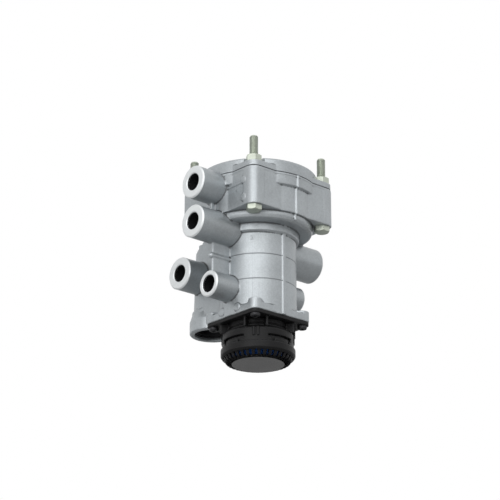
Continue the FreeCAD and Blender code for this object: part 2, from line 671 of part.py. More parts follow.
def silencer_body():
    drum_r = CAP_RING_R - CAP_RING_T - SEAT
    drum = turned([
        (DRUM_IN_R, LEDGE_Z), (drum_r, LEDGE_Z), (drum_r, DRUM_TOP - 1.6), (drum_r - 1.6, DRUM_TOP),
        (SIL_MOUTH_R, DRUM_TOP), (SIL_MOUTH_R, DRUM_TOP - SHOULDER_T), (DRUM_IN_R, DRUM_TOP - SHOULDER_T),
    ])
    third = SIL_NECK_H / 5
    inner = SIL_NECK_R - SIL_NECK_RING
    neck = turned([
        (SIL_MOUTH_R, DRUM_TOP), (inner, DRUM_TOP), (inner, DRUM_TOP + third),
        (SIL_NECK_R, DRUM_TOP + third), (SIL_NECK_R, DRUM_TOP + 2 * third), (inner, DRUM_TOP + 2 * third),
        (inner, DRUM_TOP + 3 * third), (SIL_NECK_R, DRUM_TOP + 3 * third), (SIL_NECK_R, PLATE_Z),
        (SIL_MOUTH_R, PLATE_Z),
    ])
    half = FLANGE_SPACING / 2 + FLANGE_LOBE_R
    plate = rounded_square(half, FLANGE_LOBE_R, PLATE_Z, SIL_PLATE_T)
    plate = plate.cut(cylinder(SIL_MOUTH_R, SIL_PLATE_T, 0, 0, PLATE_Z))
    seal_r = LOWER_BORE_R + 3.0
    plate = plate.cut(ring(seal_r + 1.1, seal_r - 1.1, BASE - 2.0, 2.0))
    hub_z = DRUM_TOP
    hub = ring(HUB_R, 2.6, hub_z, HUB_H)
    arms = []
    for k in range(3):
        arm = block(HUB_R - 0.5, SIL_MOUTH_R + 0.5, -ARM_W / 2, ARM_W / 2, hub_z, hub_z + HUB_H)
        arm.rotate(V(0, 0, 0), UP, 120 * k + 15)
        arms.append(arm)
    gussets = []
    for k in range(4):
        for side in (-1, 1):
            gusset = block(SIL_NECK_R - 1.5, drum_r + 2.5, -1.0, 1.0, DRUM_TOP - 0.6, PLATE_Z + 0.5)
            gusset.rotate(V(0, 0, 0), UP, 45 + 90 * k + side * 17)
            gussets.append(gusset)
    pairs = []
    for k in range(4):
        for side in (-1, 1):
            rib = block(drum_r - 0.8, drum_r + 0.8, -0.9, 0.9, DRUM_TOP - 9.0, DRUM_TOP - 1.0)
            rib.rotate(V(0, 0, 0), UP, 45 + 90 * k + side * 3.4)
            pairs.append(rib)
    body = drum.multiFuse([neck, plate, hub] + arms + gussets + pairs)
    cuts = [cylinder(SCREW_R + 0.3, SIL_PLATE_T, x, y, PLATE_Z) for x, y in at_corners(FLANGE_SPACING)]
    low = LEDGE_Z + WINDOW_UP
    outer = drum_r + 2
    for k in range(4):
        middle = 90 * k
        cuts.append(arc_wedge(outer, DRUM_IN_R - 1, low + 2.4, WINDOW_H - 2.4, middle, WINDOW_ARC))
        for side in (-1, 1):
            leg = middle + side * TONGUE_AT
            cuts.append(arc_wedge(outer, DRUM_IN_R - 1, low - 0.4, WINDOW_H - 1, leg, TONGUE_CUT))
    return body.cut(cuts[0].multiFuse(cuts[1:])).removeSplitter()


def silencer_cap():
    ring_in = CAP_RING_R - CAP_RING_T
    collar_r = DRUM_IN_R - SEAT
    collar_in = collar_r - CAP_COLLAR_T
    top = DOME_H + CAP_RING_H
    collar_top = LEDGE_Z + WINDOW_UP + WINDOW_H - 1.0
    bulge_r = (DISC_R + DOME_R) / 2 + 1.3
    bulge_z = DOME_H / 2 - 1.1
    shell = turned([
        (0, 0), (DISC_R, 0), (bulge_r, bulge_z), (DOME_R, DOME_H), (CAP_RING_R - CAP_EDGE, DOME_H),
        (CAP_RING_R, DOME_H + 1.8), (CAP_RING_R, top - 0.6), (CAP_RING_R - 0.6, top), (ring_in, top),
        (ring_in, LEDGE_Z), (collar_r, LEDGE_Z), (collar_r, collar_top), (collar_in, collar_top),
        (collar_in, LEDGE_Z - 0.6), (bulge_r - 1.6, bulge_z + GRILLE_T - 0.4), (DISC_R - 1.2, DISC_T),
        (0, DISC_T),
    ])
    slots = []
    for k in range(SLOTS):
        slot = block(DISC_R + 0.6, DOME_R - 0.3, -SLOT_W / 2, SLOT_W / 2, -1, LEDGE_Z - 0.5)
        slot.rotate(V(0, 0, 0), UP, (k + 0.5) * 360 / SLOTS)
        slots.append(slot)
    return shell.cut(slots[0].multiFuse(slots[1:])).removeSplitter()


def silencer_filter():
    outer = DRUM_IN_R - SEAT - CAP_COLLAR_T - FILTER_GAP
    top = DRUM_TOP - SHOULDER_T - FLAP_T - FILTER_GAP - 1.0
    low = DISC_T
    return turned([
        (FILTER_BORE_R, low), (DISC_R - 2.0, low), (outer, LEDGE_Z + 0.4), (outer, top),
        (FILTER_BORE_R, top),
    ])


def exhaust_flap():
    seat = DRUM_TOP - SHOULDER_T
    disc = turned([
        (0, seat - FLAP_T - 0.6), (HUB_R, seat - FLAP_T - 0.6), (HUB_R + 2, seat - FLAP_T),
        (FLAP_R, seat - FLAP_T), (FLAP_R, seat), (0, seat),
    ])
    button_z = DRUM_TOP + HUB_H
    stalk = cylinder(2.6 - RUN, button_z - seat, 0, 0, seat)
    button = turned([(0, button_z), (3.8, button_z), (2.6, button_z + 2.4), (0, button_z + 2.4)])
    spacer = cylinder(HUB_R, SHOULDER_T, 0, 0, seat)
    return disc.fuse(stalk).fuse(button).fuse(spacer).removeSplitter()


def stem_plate():
    """The plate that parts the two chambers and guides the control piston's stem."""
    outer = STEM_PLATE_R - SEAT
    boss_z = STEM_PLATE_Z - STEM_BOSS_H
    groove_z = STEM_PLATE_Z - STEM_BOSS_H / 2
    groove_r = STEM_R + 2 * STEM_RING_R + 0.1
    return turned([
        (STEM_R + RUN, boss_z), (STEM_BOSS_R, boss_z), (STEM_BOSS_R, STEM_PLATE_Z), (outer, STEM_PLATE_Z),
        (outer, STEM_PLATE_Z + STEM_PLATE_T), (STEM_R + RUN, STEM_PLATE_Z + STEM_PLATE_T),
        (STEM_R + RUN, groove_z + STEM_RING_R + 0.2), (groove_r, groove_z + STEM_RING_R + 0.2),
        (groove_r, groove_z - STEM_RING_R - 0.2), (STEM_R + RUN, groove_z - STEM_RING_R - 0.2),
    ])


def stem_seal():
    return seal(STEM_R + RUN + STEM_RING_R, STEM_RING_R, STEM_PLATE_Z - STEM_BOSS_H / 2)


def groove_points(bore_r, body_r, ring_r, z):
    """The outline of a seal groove in a piston, from its lower lip to its upper one."""
    floor = bore_r - 2 * ring_r - 2 * RUN
    half = ring_r + 0.35
    return [(body_r, z - half), (floor, z - half), (floor, z + half), (body_r, z + half)]


def piston_seal(bore_r, ring_r, z, x=0, y=0):
    return seal(bore_r - RUN - ring_r, ring_r, z, x, y)


def control_piston():
    disc_r = CHAMBER_R - FREE
    skirt_z = CROWN_TOP - SKIRT_H
    under = CROWN_TOP - CROWN_T
    end = RELAY_TOP + CONTROL_STROKE + STEM_GAP
    outline = [
        (0, end), (STEM_R - 1.0, end), (STEM_R, end + 1.0), (STEM_R, under - 2.0), (STEM_R + 2.0, under),
        (disc_r - SKIRT_T, under), (disc_r - SKIRT_T, skirt_z), (disc_r, skirt_z),
    ]
    outline += groove_points(CHAMBER_R, disc_r, CONTROL_RING_R, CROWN_TOP - SKIRT_H / 2)
    outline += [(disc_r, CROWN_TOP - 0.6), (disc_r - 0.6, CROWN_TOP), (0, CROWN_TOP)]
    floor = CROWN_TOP - 2.2
    dish = turned([
        (STEM_R + 4, floor), (disc_r - 8, floor), (disc_r - 6, CROWN_TOP), (STEM_R + 2, CROWN_TOP),
    ])
    return turned(outline).cut(dish)


def relay_piston():
    disc_r = UPPER_BORE_R - FREE
    end = SEAT_FACE + EXHAUST_GAP
    outline = [
        (RELAY_TUBE_BORE, end), (RELAY_TUBE_R - 1.2, end), (RELAY_TUBE_R, end + 2.0),
        (RELAY_TUBE_R, RELAY_BASE), (disc_r, RELAY_BASE),
    ]
    outline += groove_points(UPPER_BORE_R, disc_r, RELAY_RING_R, (RELAY_BASE + RELAY_TOP) / 2)
    outline += [(disc_r, RELAY_TOP), (0, RELAY_TOP), (0, RELAY_BASE - 2), (RELAY_TUBE_BORE, RELAY_BASE - 2)]
    return turned(outline)


def valve_seat():
    outer = LOWER_BORE_R - SEAT
    lip_r = SEAT_HOLE_R + SEAT_LIP_T
    return turned([
        (SEAT_HOLE_R, SEAT_FACE), (lip_r, SEAT_FACE), (lip_r + 0.8, SEAT_BASE), (outer, SEAT_BASE),
        (outer, SEAT_TOP), (SEAT_HOLE_R, SEAT_TOP),
    ])


def inlet_valve():
    under = SEAT_FACE - VALVE_RUBBER_T - VALVE_T
    end = under - VALVE_TUBE_H
    cup = SEAT_FACE - VALVE_RUBBER_T
    rim = SEAT_FACE - VALVE_RIM_DROP
    cup_r = VALVE_R - VALVE_RIM_T
    return turned([
        (VALVE_TUBE_BORE, end), (VALVE_TUBE_R, end), (VALVE_TUBE_R, under - 1.5),
        (VALVE_TUBE_R + 1.5, under), (VALVE_R, under), (VALVE_R, rim), (cup_r, rim), (cup_r, cup),
        (VALVE_TUBE_BORE, cup),
    ])


def valve_rubber():
    cup = SEAT_FACE - VALVE_RUBBER_T
    return ring(VALVE_R - VALVE_RIM_T, VALVE_TUBE_BORE + 0.4, cup, VALVE_RUBBER_T)


def guide_seal_heights():
    return [GUIDE_Z + GUIDE_LAND, GUIDE_TOP - GUIDE_LAND]


def lower_guide():
    """The insert that guides the inlet valve's tube, with the hand-brake channel round it."""
    outer = LOWER_BORE_R - SEAT
    low, high = guide_seal_heights()
    channel = BASE + HAND_UP - 1.0
    half = HAND_DUCT_R
    stem_r = VALVE_TUBE_R + RUN
    stem_floor = VALVE_TUBE_R + 2 * STEM_RING_R + 0.1
    stem_half = STEM_RING_R + 0.2
    stem_z = BASE + HAND_UP
    outline = [(GUIDE_RECESS_R, GUIDE_Z), (outer, GUIDE_Z)]
    outline += groove_points(LOWER_BORE_R, outer, GUIDE_RING_R, low)
    outline += [(outer, channel - half), (outer - GUIDE_GROOVE_T, channel - half)]
    outline += [(outer - GUIDE_GROOVE_T, channel + half), (outer, channel + half)]
    outline += groove_points(LOWER_BORE_R, outer, GUIDE_RING_R, high)
    outline += [(outer, GUIDE_TOP), (stem_r, GUIDE_TOP), (stem_r, stem_z + stem_half)]
    outline += [(stem_floor, stem_z + stem_half), (stem_floor, stem_z - stem_half)]
    outline += [(stem_r, stem_z - stem_half), (stem_r, GUIDE_Z + GUIDE_RECESS_H)]
    outline += [(GUIDE_RECESS_R, GUIDE_Z + GUIDE_RECESS_H)]
    return turned(outline)


def guide_seals():
    rings = [piston_seal(LOWER_BORE_R, GUIDE_RING_R, z) for z in guide_seal_heights()]
    return Part.makeCompound(rings)


def valve_seal():
    return seal(VALVE_TUBE_R + RUN + STEM_RING_R, STEM_RING_R, BASE + HAND_UP)


def side_plug():
    outer = SIDE_MOUTH_R - SEAT
    cup = PLUG_Z + PLUG_CUP_D
    outline = [(0, cup), (outer - PLUG_WALL - 1, cup), (outer - PLUG_WALL, PLUG_Z), (outer, PLUG_Z)]
    outline += groove_points(SIDE_MOUTH_R, outer, PLUG_RING_R, SIDE_SHELF_Z - PLUG_RING_DOWN)
    outline += [(outer, SIDE_SHELF_Z), (0, SIDE_SHELF_Z)]
    body = turned(outline, SIDE_X, SIDE_Y)
    knob = ring(KNOB_R, KNOB_BORE_R, cup - KNOB_H, KNOB_H, SIDE_X, SIDE_Y)
    return body.fuse(knob)


def side_plug_seal():
    return piston_seal(SIDE_MOUTH_R, PLUG_RING_R, SIDE_SHELF_Z - PLUG_RING_DOWN, SIDE_X, SIDE_Y)


def spool_seal_heights():
    low = SPOOL_Z + SPOOL_FOOT_H + SPOOL_LAND_H / 2
    high = SPOOL_Z + SPOOL_H - SPOOL_LAND_H / 2
    return [low, high]


def side_spool():
    land_r = SIDE_BORE_R - FREE
    low, high = spool_seal_heights()
    foot = SPOOL_Z + SPOOL_FOOT_H
    top = SPOOL_Z + SPOOL_H
    outline = [(0, SPOOL_Z), (SPOOL_FOOT_R, SPOOL_Z), (SPOOL_FOOT_R, foot), (land_r, foot)]
    outline += groove_points(SIDE_BORE_R, land_r, SPOOL_RING_R, low)
    outline += [(land_r, foot + SPOOL_LAND_H), (SPOOL_WAIST_R, foot + SPOOL_LAND_H)]
    outline += [(SPOOL_WAIST_R, top - SPOOL_LAND_H), (land_r, top - SPOOL_LAND_H)]
    outline += groove_points(SIDE_BORE_R, land_r, SPOOL_RING_R, high)
    outline += [(land_r, top), (0, top)]
    return turned(outline, SIDE_X, SIDE_Y)


def spool_seals():
    heights = spool_seal_heights()
    return Part.makeCompound([piston_seal(SIDE_BORE_R, SPOOL_RING_R, z, SIDE_X, SIDE_Y) for z in heights])


def write(name, shape):
    """Writes a piece with the origin moved up to the middle of the cover's mounting face."""
    shape.translate(V(0, 0, -COVER_TOP))
    shape.exportStep("parts/" + name + ".step")


def group(maker, spacing):
    return Part.makeCompound([maker(x, y) for x, y in at_corners(spacing)])


write("body_casting", body_casting())
write("cover", cover())
write("cover_gasket", cover_gasket())
write("cover_bolts", group(cover_bolt, STUD_SPACING))
write("cover_nuts", group(cover_nut, STUD_SPACING))
write("silencer_body", silencer_body())
write("silencer_cap", silencer_cap())
write("silencer_filter", silencer_filter())
write("silencer_screws", group(silencer_screw, FLANGE_SPACING))
write("silencer_seal", seal(LOWER_BORE_R + 3.0, 1.0, BASE - 1.0))
write("exhaust_flap", exhaust_flap())
write("control_piston", control_piston())
write("control_piston_seal", piston_seal(CHAMBER_R, CONTROL_RING_R, CROWN_TOP - SKIRT_H / 2))
write("control_spring", coil(CONTROL_SPRING, FLOOR_Z, CROWN_TOP - CROWN_T))
write("stem_plate", stem_plate())
write("stem_plate_clip", retaining_ring(STEM_PLATE_R, FLOOR_Z - CLIP_ROOM))
write("stem_seal", stem_seal())
write("relay_piston", relay_piston())
write("relay_piston_seal", piston_seal(UPPER_BORE_R, RELAY_RING_R, (RELAY_BASE + RELAY_TOP) / 2))
write("relay_spring", coil(RELAY_SPRING, SEAT_TOP, RELAY_BASE))
write("valve_seat", valve_seat())
write("valve_seat_clip", retaining_ring(LOWER_BORE_R, SEAT_BASE - CLIP_T))
write("inlet_valve", inlet_valve())
write("valve_rubber", valve_rubber())
write("inlet_spring", coil(INLET_SPRING, GUIDE_TOP, SEAT_FACE - VALVE_RUBBER_T - VALVE_T))
write("lower_guide", lower_guide())
write("guide_seals", guide_seals())
write("valve_seal", valve_seal())
write("guide_clip", retaining_ring(LOWER_BORE_R, GUIDE_Z - CLIP_T))
write("side_spool", side_spool())
write("spool_seals", spool_seals())
write("side_spring", coil(SIDE_SPRING, SPOOL_Z + SPOOL_H, SIDE_BORE_TOP, SIDE_X, SIDE_Y))
write("side_plug", side_plug())
write("side_plug_seal", side_plug_seal())
write("side_clip", retaining_ring(SIDE_MOUTH_R, CLIP_Z, SIDE_X, SIDE_Y))
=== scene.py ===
"""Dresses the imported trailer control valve: cast skins, threads, fasteners, finishes and the stage."""

import json
import math
import bmesh
import bpy
import numpy as np
from mathutils import Matrix, Vector


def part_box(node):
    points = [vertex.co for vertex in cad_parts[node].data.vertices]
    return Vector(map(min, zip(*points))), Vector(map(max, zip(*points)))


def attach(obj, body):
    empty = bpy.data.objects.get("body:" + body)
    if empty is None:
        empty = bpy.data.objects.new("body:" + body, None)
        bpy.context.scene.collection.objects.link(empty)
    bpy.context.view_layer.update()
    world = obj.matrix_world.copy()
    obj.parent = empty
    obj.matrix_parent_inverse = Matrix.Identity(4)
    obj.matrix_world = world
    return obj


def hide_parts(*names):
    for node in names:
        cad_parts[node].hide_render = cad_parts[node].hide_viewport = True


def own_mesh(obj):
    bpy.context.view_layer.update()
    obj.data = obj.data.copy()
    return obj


bl_info = {
    "name": "Trailer Control Valve",
    "version": (1, 0, 0),
    "blender": (4, 5, 0),
    "location": "3D View > Sidebar > Valve",
    "description": "Casts, threads, fasteners and finishes of an air-brake trailer control valve",
    "category": "Object",
}

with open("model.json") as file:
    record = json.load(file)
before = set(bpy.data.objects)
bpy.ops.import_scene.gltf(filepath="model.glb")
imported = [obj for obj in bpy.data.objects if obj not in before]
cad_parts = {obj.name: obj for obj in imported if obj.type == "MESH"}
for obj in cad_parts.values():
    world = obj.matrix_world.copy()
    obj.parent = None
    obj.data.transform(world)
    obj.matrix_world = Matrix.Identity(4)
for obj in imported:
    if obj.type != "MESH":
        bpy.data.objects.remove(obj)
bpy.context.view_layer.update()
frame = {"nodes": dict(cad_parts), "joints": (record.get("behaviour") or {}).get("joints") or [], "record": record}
NODES = frame["nodes"]
MOUNTS = {m["name"]: m for m in frame["record"]["mounts"]}
BODY = "valve_body"
MM = 0.001
FULL_TURN = 2 * math.pi
ALONG_X, ALONG_Z = 0, 2  # numbers of the axes

# Heights, taken from the boxes of the nodes that they belong to
DISC_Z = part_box("silencer_cap")[0].z
BOLT_LOW_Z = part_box("cover_bolts")[0].z
BOLT_TIP_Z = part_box("cover_bolts")[1].z
NUT_LOW_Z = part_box("cover_nuts")[0].z
NUT_TOP_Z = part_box("cover_nuts")[1].z
SCREW_LOW_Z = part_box("silencer_screws")[0].z

# Cast and moulded skins
WELD_REACH = 0.002 * MM
SNAP_REACH = 0.09 * MM
BEND_R = 1.2 * MM  # an edge of half this radius counts as bent by one
BEND_PASSES = 2
MOST_TRIANGLES = 190000
COVER_TRIANGLES = 120000
NECK_AXIS = (0, 0, 0)
SIDE_AXIS = (-6.0 * MM, 56.6 * MM, 0)
# Radii of the true round walls, in millimetres
NECK_RADII = (35.5, 38.0, 51.0, 53.1, 55.4, 55.8, 46.0, 33.0, 28.0, 29.0)
SIDE_RADII = (21.6, 19.4, 17.0, 12.0)
COVER_RADII = (55.5, 46.0, 40.0, 15.0)
DRUM_RADII = (32.6, 30.8, 27.5, 26.6, 22.0)
CAP_RADII = (34.1, 32.7, 30.7, 28.9)
# Die seams: heights on the neck, half widths of the line, which is bumped in and painted dark as shade, and of its
# edge, and where they stop
SEAM_HEIGHTS = (-85.8 * MM, -109.7 * MM)
SEAM_CORE = 0.22 * MM
SEAM_EDGE = 0.55 * MM
SEAM_REACH = 36.4 * MM
SEAM_END_Y = 30.0 * MM

# Ports: the mount's name, the boss's radius, and the depth of the mount's point inside the face
PORTS = (
    ("control_port", 15.35 * MM, 1.7 * MM),
    ("second_circuit_port", 15.35 * MM, 1.7 * MM),
    ("hand_brake_port", 12.3 * MM, 1.5 * MM),
    ("supply_port", 15.35 * MM, 1.5 * MM),
    ("delivery_port", 16.5 * MM, 1.7 * MM),
    ("coupling_port", 12.3 * MM, 1.3 * MM),
)
RING_DEPTH = 2.4 * MM  # how far a machined ring reaches into its bore and back over its boss
RING_ROOT = 0.8 * MM
RING_EASE = 0.18 * MM
MOUTH_CHAMFER = 0.8 * MM
RIM_CHAMFER = 1.0 * MM
RIM_LAND = 0.5 * MM
RING_SINK = 0.12 * MM  # how far the skin is set back under a machined ring
RING_ABOVE, RING_BESIDE = 1.0 * MM, 0.6 * MM  # how far past the ring the skin is looked for
PORT_PITCH = 1.5 * MM
PORT_THREAD_DEPTH = 0.8 * MM
PORT_THREAD_FROM = 0.7 * MM
PORT_THREAD_SHORT = 1.0 * MM  # by how much the thread stops short of its mount's length
SLEEVE_WALL = 0.3 * MM
SLEEVE_SIDES = 64
RUN = 0.02 * MM  # clearance of a thread

# Bolts and nuts
STUD_SPACING = 84.0 * MM
BOLT_R = 4.0 * MM
WAIST_R = 3.6 * MM
BOLT_HEAD_H = 5.3 * MM
STUD_THREAD_DEPTH = 0.58 * MM
TIP_H = 0.9 * MM
HEAD_FLAT, HEAD_DOME_H, HEAD_SLOPE = 0.93, 1.0 * MM, 1.7  # round flat's share, cone's height, slope
HEAD_EDGE = 0.12 * MM
WAIST_FILLET = 0.3 * MM
NUT_FLAT, NUT_DOME_H, NUT_SLOPE = 0.95, 0.8 * MM, 1.8
NUT_SINK = 0.5 * MM
TURNED_SIDES = 96
POLE_R = 0.02 * MM  # the small ring that closes a turned end

# Pan screws
SCREW_SPACING = 57.0 * MM
SCREW_HEAD_R = 4.5 * MM
SCREW_HEAD_H = 3.1 * MM
SCREW_ROOT = 0.2 * MM
LOBES = 6
LOBE_DEPTH = 0.16  # share of the recess's radius

# Springs: the wire's radius and the number of turns
SPRINGS = {
    "control_spring": (1.3 * MM, 2.0),
    "relay_spring": (1.1 * MM, 3.5),
    "inlet_spring": (0.8 * MM, 2.5),
    "side_spring": (0.8 * MM, 4.0),
}
LEVEL_TURN = 0.4  # share of a turn for which the wire lies level at each end
WIRE_SIDES = 16
STEPS_IN_TURN = 60

# Filter: its outline, its knit and the painted shade in its upper part
GAUZE_BORE_R = 9.0 * MM
GAUZE_BEND_R = 23.0 * MM
GAUZE_SHOULDER_Z = -173.0 * MM
GAUZE_EASE = 0.8 * MM
GAUZE_STEP = 0.5 * MM
GAUZE_SIDES, QUICK_GAUZE_SIDES = 330, 120
GAUZE_PLAIN = 2.0 * MM  # the knit begins this far outside the bore
STITCHES = 165
KNIT_ROWS = 3300.0  # radians of the knit's wave in a metre of the outline
TOP_SHADE_COLOUR = (0.004, 0.004, 0.005, 1.0)
TOP_SHADE_FROM_Z = -174.0 * MM
TOP_SHADE_FULL_Z = -169.5 * MM

# Cast numbers
DIGIT_SIZE = 6.0 * MM
DIGIT_EDGE = 0.08 * MM
DIGIT_SINK = 0.25 * MM  # how deep a digit is set into its wall
NECK_R = 35.5 * MM
NECK_DIGIT_TURN = math.radians(-140.5)
NECK_DIGIT_Z = -70.7 * MM
LEFT_FACE_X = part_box("cover")[0].x + 4.9 * MM
LEFT_DIGIT_Y = -27.5 * MM
LEFT_DIGIT_Z = -31.0 * MM

# Place of the camera, fitted to the photograph from the bolts, the screws and the port axes
CAMERA_TURN = math.radians(-41.432)
CAMERA_LIFT = math.radians(-20.242)
CAMERA_ROLL = math.radians(-0.043)
CAMERA_DISTANCE = 1.97256
CAMERA_LENS = 153.48
CAMERA_SENSOR = 36.0
CAMERA_SIDE = -7.2474 * MM
CAMERA_HEIGHT = -69.907 * MM

# Lamps and ground
VALVE_MIDDLE = Vector((0, 0, -80.0 * MM))
LAMP_DISTANCE = 1.0
KEY_TURN, KEY_LIFT, KEY_SIZE = math.radians(-41.0), math.radians(30.0), 1.00
FILL_TURN, FILL_LIFT, FILL_SIZE = math.radians(-70.0), 0.0, 0.60
WHITE = (1, 1, 1, 1)
GROUND_HALF = 4.0
GROUND_WHITE = 0.6  # share of the ground's look that is plain white, the rest taking the shadow


class Field:
    """A node socket that takes Python's arithmetic, each operator adding one Math node."""

    def __init__(self, nodes, socket):
        self.nodes = nodes
        self.socket = socket

    def apply(self, operation, *others):
        return self.nodes.node("ShaderNodeMath", {"operation": operation}, (self,) + others)

    def __add__(self, other):
        return self.apply("ADD", other)

    __radd__ = __add__

    def __mul__(self, other):
        return self.apply("MULTIPLY", other)

    __rmul__ = __mul__

    def __sub__(self, other):
        return self.apply("SUBTRACT", other)

    def __rsub__(self, other):
        return self.nodes.node("ShaderNodeMath", {"operation": "SUBTRACT"}, (other, self))

    def __abs__(self):
        return self.apply("ABSOLUTE")

    def __lt__(self, other):
        return self.apply("LESS_THAN", other)

    def high(self, other):
        return self.apply("MAXIMUM", other)

    def sine(self):
        return self.apply("SINE")

    def root(self):
        return self.apply("SQRT")


class Nodes:
    """A node tree, whose nodes are all made by one method."""

    def __init__(self, tree):
        self.tree = tree

    def node(self, kind, settings=None, values=(), output=0):
        """Adds a node, makes its settings first, then fills or links its inputs in order or by key.
        Gives back one output, or all of them where output is None."""
        made = self.tree.nodes.new(kind)
        for key, value in (settings or {}).items():
            setattr(made, key, value)
        pairs = values.items() if isinstance(values, dict) else enumerate(values)
        for key, value in pairs:
            self.feed(made.inputs[key], value)
        if output is None:
            return [Field(self, socket) for socket in made.outputs]
        return Field(self, made.outputs[output])

    def feed(self, socket, value):
        """Links a Field to a socket, or sets a plain value on it."""
        if isinstance(value, Field):
            self.tree.links.new(value.socket, socket)
        elif value is not None:
            socket.default_value = value

    def choose(self, share, first, second):
        """A mix of two shaders, which are given as Fields."""
        return self.node("ShaderNodeMixShader", None, (share, first, second))


class Shader(Nodes):
    """A new material with a Principled shader."""

    def __init__(self, name):
        self.material = bpy.data.materials.new(name)
        self.material.use_nodes = True
        super().__init__(self.material.node_tree)
        self.bsdf = self.tree.nodes["Principled BSDF"]

    def set(self, **values):
        """Sets or links the surface shader's own sockets, underscores standing for spaces."""
        for key, value in values.items():
            self.feed(self.bsdf.inputs[key.replace("_", " ")], value)

    def place(self):
        """The point's place on the object."""
        return self.node("ShaderNodeTexCoord", output="Object")

    def own_map(self, name):
        """The point's place on one of the mesh's own maps."""
        return self.node("ShaderNodeUVMap", {"uv_map": name})

    def attribute(self, name):
        """A number that the mesh keeps for each point; it is nought where the mesh has none."""
        return self.node("ShaderNodeAttribute", {"attribute_name": name}, (), "Fac")

    def axes(self, vector):
        """The three parts of a vector."""
        return self.node("ShaderNodeSeparateXYZ", None, [vector], None)

    def noise(self, vector, scale, detail=2.0, rough=0.5):
        values = {"Vector": vector, "Scale": scale, "Detail": detail, "Roughness": rough}
        return self.node("ShaderNodeTexNoise", None, values)

    def ramp(self, share, low, high):
        """A smooth step of share between two values."""
        settings = {"interpolation_type": "SMOOTHSTEP", "clamp": True}
        values = {"Value": share, "From Min": low, "From Max": high}
        return self.node("ShaderNodeMapRange", settings, values)

    def mix(self, share, first, second):
        """A mix of two colours; sockets 0, 6, 7 and 2 are the node's share and colours."""
        return self.node("ShaderNodeMix", {"data_type": "RGBA"}, {0: share, 6: first, 7: second}, 2)

    def bump(self, height, distance, strength):
        values = {"Strength": strength, "Distance": distance, "Height": height}
        return self.node("ShaderNodeBump", None, values)


def linear(red, green, blue):
    """A colour given as screen values from 0 to 255, turned into the light values that nodes take."""
    shares = [c / 255.0 for c in (red, green, blue)]
    return tuple(c / 12.92 if c <= 0.04045 else ((c + 0.055) / 1.055) ** 2.4 for c in shares)


def tone(colour, factor):
    """The colour made lighter or darker, with alpha one."""
    return tuple(min(1.0, c * factor) for c in colour[:3]) + (1.0,)


def shade_creases_light_edges(shader, skin, colour, crease, crest):
    """Paints shade into a skin's creases and a highlight onto its edges, by the bend that its mesh keeps. Crease
    and crest each give the bend where they begin and where they are full, their share and their tone."""
    bend = shader.attribute("bend")
    for side, (low, high, share, factor) in ((0.0 - bend, crease), (bend, crest)):
        skin = shader.mix(shader.ramp(side, low, high) * share, skin, tone(colour, factor))
    return skin


def seam_lines(shader, place):
    """One along the die seams round the neck, and nought elsewhere."""
    x, y, z = shader.axes(place)
    lines = [1.0 - shader.ramp(abs(z - height), SEAM_CORE, SEAM_EDGE) for height in SEAM_HEIGHTS]
    seam = lines[0]
    for line in lines[1:]:
        seam = seam.high(line)
    return seam * ((x * x + y * y).root() < SEAM_REACH) * (y < SEAM_END_Y)


def cast_finish(name, colour):
    """Satin cast aluminium: fine grain, pits and broad mottling, with the die seams bumped in and painted dark as
    shade in their grooves, painted shade in the creases and painted highlights on the edges."""
    shader = Shader(name)
    place = shader.place()
    grain = shader.noise(place, 1000.0, 3.0, 0.6)
    pits = shader.noise(place, 420.0)
    broad = shader.noise(place, 38.0, 3.0, 0.55)
    seam = seam_lines(shader, place)
    speckle = broad * 0.35 + pits * 0.2 + grain * 0.45
    skin = shader.mix(shader.ramp(speckle, 0.30, 0.70), tone(colour, 0.84), tone(colour, 1.14))
    # painted shade darkens the creases and a painted highlight lightens the edges, by the mesh's bend
    skin = shade_creases_light_edges(shader, skin, colour, (0.05, 0.34, 0.85, 0.20), (0.13, 0.52, 0.60, 1.38))
    # painted shade: the die seams' grooves are darkened in the base colour
    shader.set(Base_Color=shader.mix(seam * 0.62, skin, tone(colour, 0.25)))
    shader.set(Metallic=0.7, Roughness=0.33 + grain * 0.12 + broad * 0.06)
    shader.set(Normal=shader.bump(grain * 0.6 + pits * 0.4 - seam * 2.0, 0.18 * MM, 0.70))
    return shader.material


def turned_finish(name, colour, metallic=0.85, rough=0.30, ring_scale=9000.0, axis=ALONG_Z, gloss=0.5):
    """Machined metal: fine rings about an axis, worked out from the distance to it."""
    shader = Shader(name)
    place = shader.place()
    across = [part for k, part in enumerate(shader.axes(place)) if k != axis]
    radius = (across[0] * across[0] + across[1] * across[1]).root()
    rings = (radius * ring_scale).sine()
    stain = shader.noise(place, 90.0)
    shader.set(Base_Color=shader.mix(stain, tone(colour, 0.93), tone(colour, 1.05)))
    shader.set(Metallic=metallic, Roughness=rough + stain * 0.12, Specular_IOR_Level=gloss)
    shader.set(Normal=shader.bump(rings * 0.5 + 0.5, 0.02 * MM, 0.35))
    return shader.material


def face_finish(name, colour):
    """Milled port faces, whose tool rings follow the piece's own map: its u is the radius."""
    shader = Shader(name)
    radius = shader.axes(shader.own_map("rings"))[0]
    rings = (radius * 14000.0).sine()
    stain = shader.noise(shader.place(), 160.0)
    shader.set(Base_Color=shader.mix(stain, tone(colour, 0.96), tone(colour, 1.03)))
    shader.set(Metallic=0.6, Roughness=0.46 + stain * 0.10)
    shader.set(Normal=shader.bump(rings * 0.5 + 0.5, 0.02 * MM, 0.3))
    return shader.material


def plated_finish(name, colour, rough=0.30):
    """Plated steel with faint blotches and fine drawn lines."""
    shader = Shader(name)
    place = shader.place()
    blotch = shader.noise(place, 260.0, 3.0)
    fine = shader.noise(place, 2600.0)
    shader.set(Base_Color=shader.mix(blotch, tone(colour, 0.86), tone(colour, 1.10)))
    shader.set(Metallic=0.85, Roughness=rough + fine * 0.14)
    shader.set(Normal=shader.bump(fine * 0.6 + blotch * 0.4, 0.03 * MM, 0.35))
    return shader.material


